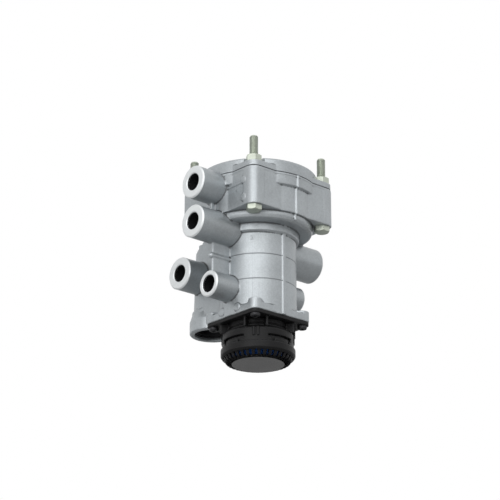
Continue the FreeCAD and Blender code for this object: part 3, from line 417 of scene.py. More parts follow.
def moulded_finish(name, colour, rough, grain_scale=1900.0, sheen=0.0):
    """Moulded plastic or rubber with a fine spark-eroded grain, slight wear in its gloss, painted shade in its
    creases and painted highlights on its edges."""
    shader = Shader(name)
    place = shader.place()
    grain = shader.noise(place, grain_scale, 3.0, 0.6)
    broad = shader.noise(place, 70.0)
    skin = shader.mix(broad, tone(colour, 0.85), tone(colour, 1.18))
    # painted shade darkens the creases and a painted highlight lightens the edges, by the mesh's bend
    skin = shade_creases_light_edges(shader, skin, colour, (0.07, 0.42, 0.80, 0.20), (0.14, 0.60, 0.60, 2.40))
    shader.set(Base_Color=skin, Specular_IOR_Level=0.18)
    shader.set(Roughness=rough - 0.05 + grain * 0.08 + broad * 0.06)
    shader.set(Normal=shader.bump(grain, 0.06 * MM, 0.5))
    if sheen:
        shader.set(Sheen_Weight=sheen)
    return shader.material


def mesh_finish(name, colour):
    """Knitted filter gauze: two crossed sets of yarns on the piece's own map, painted black towards the top as
    shade."""
    shader = Shader(name)
    u, v = shader.axes(shader.own_map("knit"))[:2]
    height = shader.axes(shader.place())[2]
    across = abs((u * (math.pi * STITCHES)).sine())
    yarn = across.high(abs((v * KNIT_ROWS).sine()))
    fuzz = shader.noise(shader.place(), 1800.0)
    knit = shader.mix(yarn * 0.8 + fuzz * 0.2, tone(colour, 0.35), tone(colour, 1.25))
    # painted shade: the knit is darkened to near black towards the top
    shader.set(Base_Color=shader.mix(shader.ramp(height, TOP_SHADE_FROM_Z, TOP_SHADE_FULL_Z), knit, TOP_SHADE_COLOUR))
    shader.set(Roughness=0.72 + fuzz * 0.1)
    shader.set(Normal=shader.bump(yarn, 0.3 * MM, 0.8))
    return shader.material


def finish_for(slot):
    """The finish of a material slot, made once. The frame brings plain materials of the slots' own
    names, so the finish has a name of its own."""
    name = slot + "_finish"
    made = bpy.data.materials.get(name)
    if made is not None:
        return made
    scene = bpy.context.scene
    castings, fasteners, plastics = scene.valve_castings, scene.valve_fasteners, scene.valve_plastics
    makers = {
        "cast_aluminium": lambda: cast_finish(name, castings.cast_colour),
        "turned_aluminium": lambda: turned_finish(name, castings.turned_colour),
        "zinc_steel": lambda: plated_finish(name, fasteners.zinc_colour),
        "spring_steel": lambda: turned_finish(name, fasteners.spring_colour, 0.9, 0.35),
        "dark_steel": lambda: plated_finish(name, fasteners.dark_colour, 0.42),
        "black_plastic": lambda: moulded_finish(name, plastics.plastic_colour, 0.42),
        "blue_filter": lambda: mesh_finish(name, plastics.filter_colour),
        "rubber": lambda: moulded_finish(name, plastics.rubber_colour, 0.62, 2400.0, 0.15),
        "gasket_fibre": lambda: moulded_finish(name, plastics.gasket_colour, 0.80, 3000.0),
    }
    return makers[slot]()


def in_scene(name, data):
    """A new object in the scene for a mesh, text, lamp or camera."""
    made = bpy.data.objects.new(name, data)
    bpy.context.scene.collection.objects.link(made)
    return made


def only_material(mesh, material):
    """Gives the mesh this material alone."""
    mesh.materials.clear()
    mesh.materials.append(material)


def new_object(name, mesh, material):
    """An object in the scene that holds the mesh, with one material."""
    only_material(mesh, material)
    return in_scene(name, mesh)


def fit(piece, slot, *nodes):
    """Rides a finished piece on the valve's body, in place of the nodes; slot is not used."""
    if not len(piece.data.vertices):
        raise RuntimeError(piece.name + " came out empty")
    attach(piece, BODY)
    if nodes:
        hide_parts(*nodes)


def grid_mesh(name, points, close_v=True):
    """A smooth mesh of quads over an array of points [u, v, xyz], joined at the ends of u, and of v
    too where that is closed."""
    rows, columns = points.shape[:2]
    index = np.arange(rows * columns).reshape(rows, columns)
    index = np.vstack([index, index[:1]])
    if close_v:
        index = np.hstack([index, index[:, :1]])
    quads = np.stack([index[:-1, :-1], index[1:, :-1], index[1:, 1:], index[:-1, 1:]], axis=-1)
    mesh = bpy.data.meshes.new(name)
    mesh.from_pydata(points.reshape(-1, 3), [], quads.reshape(-1, 4).tolist())
    mesh.validate()
    mesh.update()
    mesh.shade_smooth()
    return mesh


def reworked(mesh, mend):
    """The mesh after a mend to its faces, which are then turned outwards."""
    work = bmesh.new()
    work.from_mesh(mesh)
    mend(work)
    bmesh.ops.recalc_face_normals(work, faces=work.faces)
    work.to_mesh(mesh)
    work.free()
    mesh.update()
    return mesh


def outward(mesh):
    """Merges a mesh's doubles and turns its faces outwards."""
    def merge(work):
        bmesh.ops.remove_doubles(work, verts=work.verts, dist=WELD_REACH)
        bmesh.ops.dissolve_degenerate(work, edges=work.edges, dist=WELD_REACH / 2)

    return reworked(mesh, merge)


def crisp(mesh, degrees=32.0):
    """Smooth shading that stops at edges sharper than the angle."""
    mesh.shade_smooth()
    mesh.set_sharp_from_angle(angle=math.radians(degrees))
    return mesh


def closed_tube(name, points, degrees=32.0):
    """A mesh over angle and length whose first and last rings are closed by flat caps."""
    def cap(work):
        bmesh.ops.holes_fill(work, edges=work.edges, sides=0)

    return crisp(reworked(grid_mesh(name, points, close_v=False), cap), degrees)


def joined(name, meshes, material):
    """One object from several meshes."""
    work = bmesh.new()
    for mesh in meshes:
        work.from_mesh(mesh)
        bpy.data.meshes.remove(mesh)
    whole = bpy.data.meshes.new(name)
    work.to_mesh(whole)
    work.free()
    whole.shade_smooth()
    return new_object(name, whole, material)


def evaluated(obj):
    """An object as a mesh with its modifiers applied; the object and its data are deleted."""
    graph = bpy.context.evaluated_depsgraph_get()
    mesh = bpy.data.meshes.new_from_object(obj.evaluated_get(graph))
    old = obj.data
    bpy.data.objects.remove(obj)
    store = bpy.data.curves if isinstance(old, bpy.types.Curve) else bpy.data.meshes
    store.remove(old)
    return mesh


def values_of(items, key, width, kind=np.float32):
    """What each of a mesh's items holds under a key, as rows of an array."""
    flat = np.empty(len(items) * width, kind)
    items.foreach_get(key, flat)
    return flat.reshape(-1, width)


def coordinates(mesh):
    """The mesh's points."""
    return values_of(mesh.vertices, "co", 3).astype(float)


def set_coordinates(mesh, points):
    """Moves the mesh's points."""
    mesh.vertices.foreach_set("co", points.astype(np.float32).ravel())
    mesh.update()


def edge_pairs(mesh):
    """The numbers of the two points of each edge."""
    return values_of(mesh.edges, "vertices", 2, np.int64)


def neighbours_mean(points, edges):
    """The mean of each point's neighbours, and their mean distance from it."""
    first, second = edges[:, 0], edges[:, 1]
    count = len(points)

    def gathered(for_first, for_second):
        total = np.bincount(first, weights=for_first, minlength=count)
        return total + np.bincount(second, weights=for_second, minlength=count)

    degree = np.maximum(gathered(None, None), 1)
    columns = [gathered(points[second, k], points[first, k]) for k in range(points.shape[1])]
    reach = np.linalg.norm(points[second] - points[first], axis=1)
    return np.stack(columns, axis=-1) / degree[:, None], gathered(reach, reach) / degree


def relax(points, edges, passes):
    """Moves each point half of the way to its neighbours' mean, several times over."""
    for _ in range(passes):
        points = 0.5 * points + 0.5 * neighbours_mean(points, edges)[0]
    return points


def snap_round(points, centre, axis, radius):
    """Sets points that lie close to a true cylinder on that cylinder, whatever flats it had."""
    across = [k for k in range(3) if k != axis]
    offset = points[:, across] - np.array([centre[k] for k in across])
    distance = np.linalg.norm(offset, axis=1)
    near = np.abs(distance - radius) < SNAP_REACH
    scale = np.where(near, radius / np.maximum(distance, 1e-9), 1.0)
    points[:, across] += offset * (scale - 1.0)[:, None]
    return points


def keep_bend(mesh):
    """Keeps a mesh's bend at each point, from below nought in a crease to above it on an edge:
    bend = -2 * radius * (mean of neighbours - point) . normal / distance**2, evened out."""
    points = coordinates(mesh)
    edges = edge_pairs(mesh)
    normals = values_of(mesh.vertex_normals, "vector", 3).astype(float)
    middle, reach = neighbours_mean(points, edges)
    inward = np.einsum("ij,ij->i", middle - points, normals)
    bend = -2.0 * BEND_R * inward / np.maximum(reach, 1e-6) ** 2
    for _ in range(BEND_PASSES):
        bend = 0.4 * bend + 0.6 * neighbours_mean(bend[:, None], edges)[0][:, 0]
    layer = mesh.attributes.new("bend", "FLOAT", "POINT")
    layer.data.foreach_set("value", np.clip(bend, -1.0, 1.0).astype(np.float32))


def softened_copy(node, name, cell, passes, material, rounds, budget=MOST_TRIANGLES):
    """A copy of a CAD solid on an even grid of small cells, with its round walls set true and its
    corners relaxed to the soft radius of a casting or moulding."""
    work = new_object(name + "_work", NODES[node].data.copy(), material)
    weld = work.modifiers.new("weld", "WELD")
    weld.merge_threshold = WELD_REACH
    cells = work.modifiers.new("cells", "REMESH")
    cells.mode = "VOXEL"
    cells.voxel_size = cell * 1.0
    mesh = evaluated(work)
    points = coordinates(mesh)
    for centre, axis, radius in rounds:
        points = snap_round(points, centre, axis, radius)
    set_coordinates(mesh, relax(points, edge_pairs(mesh), passes))
    triangles = sum(len(p.vertices) - 2 for p in mesh.polygons)
    obj = new_object(name + "_thin", mesh, material)
    if triangles > budget:
        thin = obj.modifiers.new("thin", "DECIMATE")
        thin.ratio = budget / triangles
    mesh = evaluated(obj)
    mesh.name = name
    mesh.shade_smooth()
    keep_bend(mesh)
    return new_object(name, mesh, material)


def upright_rounds(axis, radii):
    """True cylinders about an upright axis: the centre, the axis's number and the radius of each."""
    return tuple((axis, ALONG_Z, radius * MM) for radius in radii)


def port_rounds():
    """The bosses and bores, whose axes lie along X."""
    rounds = []
    for port in PORTS:
        face, axis, thread_r, boss_r = port_place(port)
        rounds += [(tuple(face), ALONG_X, boss_r), (tuple(face), ALONG_X, thread_r)]
    return tuple(rounds)


def frame_to(origin, axis):
    """The turn and shift that take a shape made along +Z to an origin, pointing along axis."""
    turn = Vector((0, 0, 1)).rotation_difference(Vector(axis)).to_matrix().to_4x4()
    return Matrix.Translation(origin) @ turn


def full_circle(sides):
    """The angles of a number of sides round a full turn, as a column."""
    return np.linspace(0, FULL_TURN, sides, endpoint=False)[:, None]


def eased(profile, radius, steps=3):
    """A closed outline of (radius, height) pairs with each corner rounded by a short arc that is
    tangent to both its sides; radius is cut down where a side is too short for it."""
    rounded = []
    count = len(profile)
    for k in range(count):
        here = np.array(profile[k], float)
        before = np.array(profile[k - 1], float) - here
        after = np.array(profile[(k + 1) % count], float) - here
        room = 0.4 * min(np.linalg.norm(before), np.linalg.norm(after))
        reach = min(radius, room)
        start = here + before / np.linalg.norm(before) * reach
        end = here + after / np.linalg.norm(after) * reach
        for step in range(steps + 1):
            t = step / steps
            rounded.append((1 - t) ** 2 * start + 2 * t * (1 - t) * here + t ** 2 * end)
    return np.array(rounded)


def cut_fine(outline, step):
    """A closed outline with more points along its sides, about one step apart."""
    fine = []
    for here, ahead in zip(outline, np.roll(outline, -1, axis=0)):
        cuts = max(1, int(np.linalg.norm(ahead - here) / step))
        fine.extend(here + (ahead - here) * (n / cuts) for n in range(cuts))
    return np.array(fine)


def spin(profile, sides):
    """Points of a solid of revolution: a closed outline of (radius, height) pairs turned about +Z."""
    angle = full_circle(sides)
    radius, height = profile[:, 0][None, :], profile[:, 1][None, :]
    parts = (radius * np.cos(angle), radius * np.sin(angle), height + 0 * angle)
    return np.stack(parts, axis=-1)


def stacked(x, y, angle, rows):
    """Points over angle and length about an upright axis at x, y, from rows of (radius, height) in
    which a radius is one number or one for each angle."""
    radius = np.hstack([row[0] + 0 * angle for row in rows])
    height = np.array([row[1] for row in rows])[None, :] + 0 * angle
    return np.stack([x + radius * np.cos(angle), y + radius * np.sin(angle), height], axis=-1)


def corners(spacing):
    """The four places of a square pattern."""
    return [(sx * spacing / 2, sy * spacing / 2) for sx in (-1, 1) for sy in (-1, 1)]


def thread_wave(turns):
    """The depth of a thread as a share from 0 at its crest to 1 at its root: a wave with short flats."""
    slope = np.abs(2 * (turns % 1.0) - 1)
    return np.clip(1.3 * slope - 0.15, 0, 1)


def hexagon_radius(angle, across_flats):
    """The distance from a hexagon's middle to its edge, corners lying at whole sixths of a turn."""
    sixth = FULL_TURN / 6
    from_flat = (angle % sixth) - sixth / 2
    return across_flats / 2 / np.cos(from_flat)


def port_place(port):
    """A port's face centre, its axis, its thread's radius and its boss's radius."""
    name, boss_r, inset = port
    mount = MOUNTS[name]
    axis = Vector(mount["axis"])
    face = Vector(mount["pos_m"]) + axis * inset
    return face, axis, mount["dims"]["r_mm"] * MM, boss_r


def milled_face(port, proud):
    """The turned end of a boss: its flat face, outer chamfer and countersunk mouth, as one ring."""
    face, axis, thread_r, boss_r = port_place(port)
    profile = [
        (thread_r - proud, -RING_DEPTH), (thread_r - proud, -MOUTH_CHAMFER),
        (thread_r + MOUTH_CHAMFER, 0), (boss_r - RIM_CHAMFER, 0), (boss_r + proud, -RIM_CHAMFER),
        (boss_r + proud, -RIM_CHAMFER - RIM_LAND), (boss_r - RING_ROOT, -RING_DEPTH),
    ]
    mesh = grid_mesh("face", spin(eased(profile, RING_EASE), TURNED_SIDES))
    rings = mesh.uv_layers.new(name="rings")
    loops = values_of(mesh.loops, "vertex_index", 1, np.int64)[:, 0]
    points = coordinates(mesh)
    radius = np.hypot(points[:, 0], points[:, 1])
    rings.data.foreach_set("uv", np.stack([radius[loops], points[loops, 2]], axis=-1).ravel())
    outward(mesh)
    mesh.transform(frame_to(face, axis))
    return mesh


def sink_under_faces(mesh):
    """Sets the skin back by a small depth where a machined ring covers it."""
    points = coordinates(mesh)
    for port in PORTS:
        face, axis, thread_r, boss_r = port_place(port)
        offset = points - np.array(face)
        height = offset @ np.array(axis)
        radius = np.linalg.norm(offset - height[:, None] * np.array(axis), axis=1)
        covered = (height > -RING_SINK) & (height < RING_ABOVE) & (radius < boss_r + RING_BESIDE)
        points[covered] -= (height[covered] + RING_SINK)[:, None] * np.array(axis)
    set_coordinates(mesh, points)


def port_thread(port):
    """A tapped sleeve: its inner wall dips by the thread's wave of turns = height / pitch + angle."""
    face, axis, thread_r, boss_r = port_place(port)
    length = MOUNTS[port[0]]["dims"]["length_mm"] * MM - PORT_THREAD_SHORT
    angle = full_circle(SLEEVE_SIDES)
    height = np.linspace(-PORT_THREAD_FROM, -length, int(length / PORT_PITCH * 10))[None, :]
    wave = 1.0 - thread_wave(height / PORT_PITCH + angle / FULL_TURN)
    fade = np.clip((-height - PORT_THREAD_FROM) / PORT_PITCH, 0, 1)
    radius = thread_r - RUN - PORT_THREAD_DEPTH * wave * fade
    back = thread_r + SLEEVE_WALL + 0 * angle
    radius = np.hstack([radius, back, back])
    height = np.hstack([height + 0 * angle, 0 * angle - length, 0 * angle - PORT_THREAD_FROM])
    points = np.stack([radius * np.cos(angle), radius * np.sin(angle), height], axis=-1)
    mesh = outward(grid_mesh("thread", points))
    mesh.transform(frame_to(face, axis))
    return crisp(mesh, 40.0)


def long_bolt(x, y, across_flats, pitch):
    """A hexagon bolt as one surface over angle and length: a domed head cut by a cone, a waisted
    shank, and a thread whose depth follows turns = height / pitch - angle."""
    angle = full_circle(TURNED_SIDES)
    corner = hexagon_radius(angle, across_flats)
    flat_r = across_flats / 2 * HEAD_FLAT
    low, seat, tip = BOLT_LOW_Z, BOLT_LOW_Z + BOLT_HEAD_H, BOLT_TIP_Z
    rows = [(POLE_R, low), (flat_r * 0.6, low), (flat_r, low)]
    for rise in np.linspace(0.1, 1.0, 8) * HEAD_DOME_H:
        rows.append((np.minimum(corner, flat_r + rise * HEAD_SLOPE), low + rise))
    rows += [
        (corner, seat - HEAD_EDGE), (corner - HEAD_EDGE, seat), (WAIST_R + WAIST_FILLET, seat),
        (WAIST_R, seat + WAIST_FILLET), (WAIST_R, NUT_LOW_Z),
    ]
    for height in np.arange(NUT_LOW_Z, tip - TIP_H, pitch / 9):
        fade = min(1.0, (height - NUT_LOW_Z) / pitch)
        wave = thread_wave(height / pitch - angle / FULL_TURN)
        rows.append((BOLT_R - RUN - STUD_THREAD_DEPTH * wave * fade, height))
    rows += [(BOLT_R - 0.75 * MM, tip - 0.1 * MM), (BOLT_R - 0.95 * MM, tip), (POLE_R, tip)]
    return closed_tube("bolt", stacked(x, y, angle, rows))


def hexagon_nut(x, y, across_flats):
    """A nut as a closed ring over angle: a hexagon cut by cones above and below, with a
    countersunk bore."""
    angle = full_circle(TURNED_SIDES)
    corner = hexagon_radius(angle, across_flats)
    flat_r = across_flats / 2 * NUT_FLAT
    bore_r = BOLT_R + RUN
    low, high = NUT_LOW_Z, NUT_TOP_Z
    rises = np.linspace(0.0, 1.0, 7) * NUT_DOME_H
    cones = [(np.minimum(corner, flat_r + rise * NUT_SLOPE), rise) for rise in rises]
    rows = [(bore_r, low + NUT_SINK), (bore_r + NUT_SINK, low)]
    rows += [(radius, low + rise) for radius, rise in cones]
    rows += [(radius, high - rise) for radius, rise in reversed(cones)]
    rows += [(bore_r + NUT_SINK, high), (bore_r, high - NUT_SINK)]
    return crisp(outward(grid_mesh("nut", stacked(x, y, angle, rows))))


def pan_screw(x, y, recess_r):
    """A pan head with a lobed recess, from the recess floor out over the dome to its seat. Heights
    are shares of the head's."""
    angle = full_circle(TURNED_SIDES)
    lobe = recess_r * (1.0 + LOBE_DEPTH * np.cos(LOBES * angle))
    mouth_r = recess_r * 1.3
    dome = [
        (POLE_R, 0.62), (lobe * 0.5, 0.62), (lobe * 0.93, 0.58), (lobe, 0.08), (lobe * 1.08, 0.01),
    ]
    for turn in np.linspace(0.0, FULL_TURN / 4, 14):
        radius = mouth_r + (SCREW_HEAD_R - mouth_r) * math.sin(turn)
        dome.append((radius, 0.8 * (1 - math.cos(turn)) ** 1.4))
    rows = [(radius, SCREW_LOW_Z + share * SCREW_HEAD_H) for radius, share in dome]
    seat = SCREW_LOW_Z + SCREW_HEAD_H
    rows += [(SCREW_HEAD_R, seat), (SCREW_HEAD_R * 0.5, seat + SCREW_ROOT), (POLE_R, seat + SCREW_ROOT)]
    return closed_tube("screw", stacked(x, y, angle, rows), 40.0)


def coil_spring(node):
    """Round wire carried along a coil in the node's own box: the wire lies level for part of a turn
    at each end, and between them it climbs evenly with the angle."""
    wire_r, turns = SPRINGS[node]
    low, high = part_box(node)
    middle = (low + high) / 2
    coil_r = (high.x - low.x) / 2 - wire_r
    share = np.linspace(0, 1, int(STEPS_IN_TURN * turns) + 1)[None, :]
    around = full_circle(WIRE_SIDES)
    angle = FULL_TURN * turns * share
    level = LEVEL_TURN / turns
    climb = np.clip((share - level) / (1 - 2 * level), 0, 1)
    height = low.z + wire_r + (high.z - low.z - 2 * wire_r) * climb + wire_r * np.sin(around)
    radius = coil_r + wire_r * np.cos(around)
    parts = (middle.x + radius * np.cos(angle), middle.y + radius * np.sin(angle), height)
    return closed_tube("spring", np.stack(parts, axis=-1), 60.0)


def grid_map(mesh, name, across, along):
    """Gives a closed grid its own map, whose values run on past the join instead of jumping back."""
    rows, columns = len(across) - 1, len(along) - 1
    low, high = np.meshgrid(np.arange(rows), np.arange(columns), indexing="ij")
    u = np.stack([across[low], across[low + 1], across[low + 1], across[low]], axis=-1)
    v = np.stack([along[high], along[high], along[high + 1], along[high + 1]], axis=-1)
    layer = mesh.uv_layers.new(name=name)
    layer.data.foreach_set("uv", np.stack([u, v], axis=-1).ravel())


def gauze_body(yarn):
    """The filter pack as a spun outline whose outer walls rise and fall by the knit's wave:
    relief = yarn * |sin(stitches * half the angle)| * |sin(rows * length along the outline)|."""
    low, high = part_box("silencer_filter")
    outline = [
        (GAUZE_BORE_R, low.z), (GAUZE_BEND_R, low.z), (high.x, GAUZE_SHOULDER_Z),
        (high.x, high.z), (GAUZE_BORE_R, high.z),
    ]
    profile = cut_fine(eased(outline, GAUZE_EASE), GAUZE_STEP)
    sides = GAUZE_SIDES
    points = spin(profile, sides)
    steps = np.linalg.norm(np.roll(profile, -1, axis=0) - profile, axis=1)
    length = np.concatenate([[0.0], np.cumsum(steps)])
    turn = np.linspace(0, 1, sides + 1)
    across = np.abs(np.sin(turn[:-1, None] * math.pi * STITCHES))
    wave = across * np.abs(np.sin(length[None, :-1] * KNIT_ROWS))
    radius = profile[None, :, 0]
    shrink = 1.0 - yarn * (1.0 - wave) / np.maximum(radius, GAUZE_BORE_R)
    points[:, :, :2] *= np.where(radius > GAUZE_BORE_R + GAUZE_PLAIN, shrink, 1.0)[:, :, None]
    mesh = grid_mesh("gauze", points)
    grid_map(mesh, "knit", turn, length)
    return outward(mesh)


def raised_number(text, thick):
    """A digit as a closed solid in its own plane, centred, its thickness along +Z."""
    curve = bpy.data.curves.new("number", "FONT")
    curve.body = text
    curve.size = DIGIT_SIZE
    curve.extrude = thick / 2
    curve.bevel_depth = DIGIT_EDGE
    curve.bevel_resolution = 1
    curve.align_x = "CENTER"
    curve.align_y = "CENTER"
    return outward(evaluated(in_scene("number", curve)))


def bent_on_neck(mesh, angle, height, radius):
    """Wraps a flat digit round the neck: its x becomes arc length and its z stands off the wall."""
    points = coordinates(mesh)
    turn = angle + points[:, 0] / radius
    out = radius + points[:, 2]
    points = np.stack([out * np.cos(turn), out * np.sin(turn), height + points[:, 1]], axis=-1)
    set_coordinates(mesh, points)
    return mesh


def on_left_face(mesh, y, height, x):
    """Sets a flat digit upright on a face that looks along -X."""
    turn = Matrix(((0, 0, -1, x), (-1, 0, 0, y), (0, 1, 0, height), (0, 0, 0, 1)))
    mesh.transform(turn)
    return mesh


def toward(turn, lift):
    """The direction from the object to a viewer at that turn and lift."""
    flat = math.cos(lift)
    return Vector((math.sin(turn) * flat, -math.cos(turn) * flat, math.sin(lift)))


def photo_camera():
    """The photograph's camera: on the line of sight, turned to look back along it."""
    back = toward(CAMERA_TURN, CAMERA_LIFT)
    right = Vector((math.cos(CAMERA_TURN), math.sin(CAMERA_TURN), 0))
    data = bpy.data.cameras.new("photo_camera")
    data.lens = CAMERA_LENS
    data.sensor_width = CAMERA_SENSOR
    camera = in_scene("photo_camera", data)
    camera.location = right * CAMERA_SIDE + Vector((0, 0, CAMERA_HEIGHT)) + back * CAMERA_DISTANCE
    facing = (-back).to_track_quat("-Z", "Y").to_matrix().to_4x4()
    camera.rotation_mode = "QUATERNION"
    camera.rotation_quaternion = (facing @ Matrix.Rotation(CAMERA_ROLL, 4, "Z")).to_quaternion()
    bpy.context.scene.camera = camera


def lamp(name, turn, lift, size, power):
    """A square lamp that faces the middle of the valve and isn't seen itself."""
    data = bpy.data.lights.new(name, "AREA")
    data.size = size
    data.energy = power
    back = toward(turn, lift)
    made = in_scene(name, data)
    made.location = VALVE_MIDDLE + back * LAMP_DISTANCE
    made.rotation_euler = (-back).to_track_quat("-Z", "Y").to_euler()
    made.visible_camera = False


def white_world(ambient):
    """A world that is white to the camera, to gloss and through glass, and a softer light otherwise."""
    world = bpy.data.worlds.new("white_world")
    world.use_nodes = True
    nodes = Nodes(world.node_tree)
    plain = nodes.node("ShaderNodeBackground", None, (WHITE, ambient))
    bright = nodes.node("ShaderNodeBackground", None, (WHITE, 1.0))
    shown = nodes.node("ShaderNodeLightPath", None, (), "Is Camera Ray")
    for ray in ("Is Glossy Ray", "Is Transmission Ray"):
        shown = shown.high(nodes.node("ShaderNodeLightPath", None, (), ray))
    nodes.feed(nodes.tree.nodes["World Output"].inputs["Surface"], nodes.choose(shown, plain, bright))
    bpy.context.scene.world = world


def ground(colour):
    """A level ground under the silencer's disc: nearly white to the eye, it takes the valve's shadow,
    and it is clear from below, where the photograph was taken from."""
    half = GROUND_HALF
    mesh = bpy.data.meshes.new("ground")
    places = [(-half, -half, DISC_Z), (half, -half, DISC_Z), (half, half, DISC_Z), (-half, half, DISC_Z)]
    mesh.from_pydata(places, [], [(0, 1, 2, 3)])
    shader = Shader("ground")
    shader.set(Base_Color=tone(colour, 1.0), Roughness=0.9)
    below = shader.node("ShaderNodeNewGeometry", None, (), "Backfacing")
    seen = shader.node("ShaderNodeLightPath", None, (), "Is Camera Ray")
    clear = shader.node("ShaderNodeBsdfTransparent")
    white = shader.node("ShaderNodeEmission", None, (WHITE, 1.0))
    pale = shader.choose(seen * GROUND_WHITE, Field(shader, shader.bsdf.outputs[0]), white)
    surface = shader.choose(below, pale, clear)
    shader.feed(shader.tree.nodes["Material Output"].inputs["Surface"], surface)
    made = new_object("ground", mesh, shader.material)
    made.visible_shadow = False


def colour_setting(label, note, red, green, blue):
    """A colour property whose default is given in screen values."""
    return bpy.props.FloatVectorProperty(
        name=label, description=note, subtype="COLOR", size=3, min=0.0, max=1.0,
        default=linear(red, green, blue),
    )


def length_setting(label, note, default):
    """A length property in metres."""
    return bpy.props.FloatProperty(
        name=label, description=note, default=default, min=0.0, precision=5,
        subtype="DISTANCE", unit="LENGTH",
    )


def passes_setting(label, note):
    """A number of relaxing passes."""
    return bpy.props.IntProperty(name=label, description=note, default=2, min=0, max=20)


def power_setting(label, note, default):
    """A lamp's power in watts."""
    return bpy.props.FloatProperty(
        name=label, description=note, default=default, min=0.0, subtype="POWER", unit="POWER",
    )


class ValveCastings(bpy.types.PropertyGroup):
    """Colours and corner softness of the two castings, and their machined places."""

    cast_colour: colour_setting("Cast colour", "Colour of the cast skin", 166, 171, 174)
    turned_colour: colour_setting("Turned colour", "Colour of turned inner pieces", 196, 198, 201)
    milled_colour: colour_setting("Milled colour", "Colour of the milled port faces", 224, 227, 228)
    bore_colour: colour_setting("Bore colour", "Colour of the shaded port threads", 9, 10, 11)
    housing_cell: length_setting("Housing cell", "Cell size of the housing's skin", 0.55 * MM)
    cover_cell: length_setting("Cover cell", "Cell size of the cover's skin", 0.5 * MM)
    softness: passes_setting("Softness", "Relaxing passes that round the cast corners")
    proud: length_setting("Milled rise", "How far a machined ring stands off its boss's side", 0.04 * MM)
    number_rise: length_setting("Number rise", "How far the cast numbers stand out", 0.45 * MM)


class ValveFasteners(bpy.types.PropertyGroup):
    """Colours and sizes of the bolts, nuts and screws."""

    zinc_colour: colour_setting("Zinc colour", "Colour of the plated bolts and nuts", 184, 190, 178)
    spring_colour: colour_setting("Spring colour", "Colour of the spring wire", 120, 120, 122)
    dark_colour: colour_setting("Dark steel colour", "Colour of the screws, plug and rings", 62, 62, 64)
    across_flats: length_setting("Across flats", "Size of the hexagons", 13.0 * MM)
    pitch: length_setting("Pitch", "Pitch of the stud's thread", 1.25 * MM)
    recess_r: length_setting("Recess radius", "Radius of the screws' lobed recess", 2.1 * MM)


class ValvePlastics(bpy.types.PropertyGroup):
    """Colours and sizes of the silencer, its filter and the rubber."""

    plastic_colour: colour_setting("Plastic colour", "Colour of the silencer", 24, 24, 25)
    filter_colour: colour_setting("Filter colour", "Colour of the filter gauze", 34, 92, 172)
    rubber_colour: colour_setting("Rubber colour", "Colour of the seals", 26, 26, 26)
    gasket_colour: colour_setting("Gasket colour", "Colour of the cover's gasket", 92, 94, 97)
    moulding_cell: length_setting("Moulding cell", "Cell size of the silencer's skin", 0.5 * MM)
    moulding_softness: passes_setting("Moulding softness", "Relaxing passes of the moulded corners")
    yarn: length_setting("Yarn", "Relief of the filter's knit", 0.25 * MM)


class ValveStage(bpy.types.PropertyGroup):
    """Lamps and floor."""

    key_power: power_setting("Key lamp", "Power of the lamp above the line of sight", 4.3)
    fill_power: power_setting("Fill lamp", "Power of the lamp to its left", 2.4)
    ambient: bpy.props.FloatProperty(
        name="Ambient", description="Strength of the white world as light", default=0.29,
        min=0.0, max=1.0, subtype="FACTOR",
    )
    floor_colour: colour_setting("Floor colour", "Colour of the ground", 250, 250, 250)


class VALVE_OT_cast_housing(bpy.types.Operator):
    """Makes the soft-cornered skin of the cast housing"""

    bl_idname = "valve.cast_housing"
    bl_label = "Cast housing"

    def execute(self, context):
        sizes = context.scene.valve_castings
        rounds = upright_rounds(NECK_AXIS, NECK_RADII) + upright_rounds(SIDE_AXIS, SIDE_RADII)
        skin = softened_copy("body_casting", "cast_housing", sizes.housing_cell, sizes.softness,
                             finish_for("cast_aluminium"), rounds + port_rounds())
        sink_under_faces(skin.data)
        fit(skin, "cast_aluminium", "body_casting")
        return {"FINISHED"}


class VALVE_OT_cast_cover(bpy.types.Operator):
    """Makes the soft-cornered skin of the cover"""

    bl_idname = "valve.cast_cover"
    bl_label = "Cast cover"

    def execute(self, context):
        sizes = context.scene.valve_castings
        rounds = upright_rounds(NECK_AXIS, COVER_RADII)
        skin = softened_copy("cover", "cover_casting", sizes.cover_cell, sizes.softness,
                             finish_for("cast_aluminium"), rounds, COVER_TRIANGLES)
        fit(skin, "cast_aluminium", "cover")
        return {"FINISHED"}


class VALVE_OT_port_faces(bpy.types.Operator):
    """Turns the bright faces of the six port bosses"""

    bl_idname = "valve.port_faces"
    bl_label = "Port faces"

    def execute(self, context):
        sizes = context.scene.valve_castings
        faces = [milled_face(port, sizes.proud) for port in PORTS]
        milled = face_finish("milled_face", sizes.milled_colour)
        fit(joined("port_faces", faces, milled), "turned_aluminium")
        return {"FINISHED"}


class VALVE_OT_port_threads(bpy.types.Operator):
    """Cuts the tapped sleeves of the six ports"""

    bl_idname = "valve.port_threads"
    bl_label = "Port threads"

    def execute(self, context):
        sizes = context.scene.valve_castings
        sleeves = [port_thread(port) for port in PORTS]
        # painted shade: the threads are coloured near black to stand for the shade inside the bores
        dark = turned_finish("port_thread", sizes.bore_colour, 0.0, 0.55, 4000.0, ALONG_X, 0.1)
        fit(joined("port_threads", sleeves, dark), "turned_aluminium")
        return {"FINISHED"}


class VALVE_OT_long_bolts(bpy.types.Operator):
    """Makes the four long hexagon bolts that are also the studs"""

    bl_idname = "valve.long_bolts"
    bl_label = "Long bolts"

    def execute(self, context):
        sizes = context.scene.valve_fasteners
        bolts = [long_bolt(x, y, sizes.across_flats, sizes.pitch) for x, y in corners(STUD_SPACING)]
        fit(joined("long_bolts", bolts, finish_for("zinc_steel")), "zinc_steel", "cover_bolts")
        return {"FINISHED"}


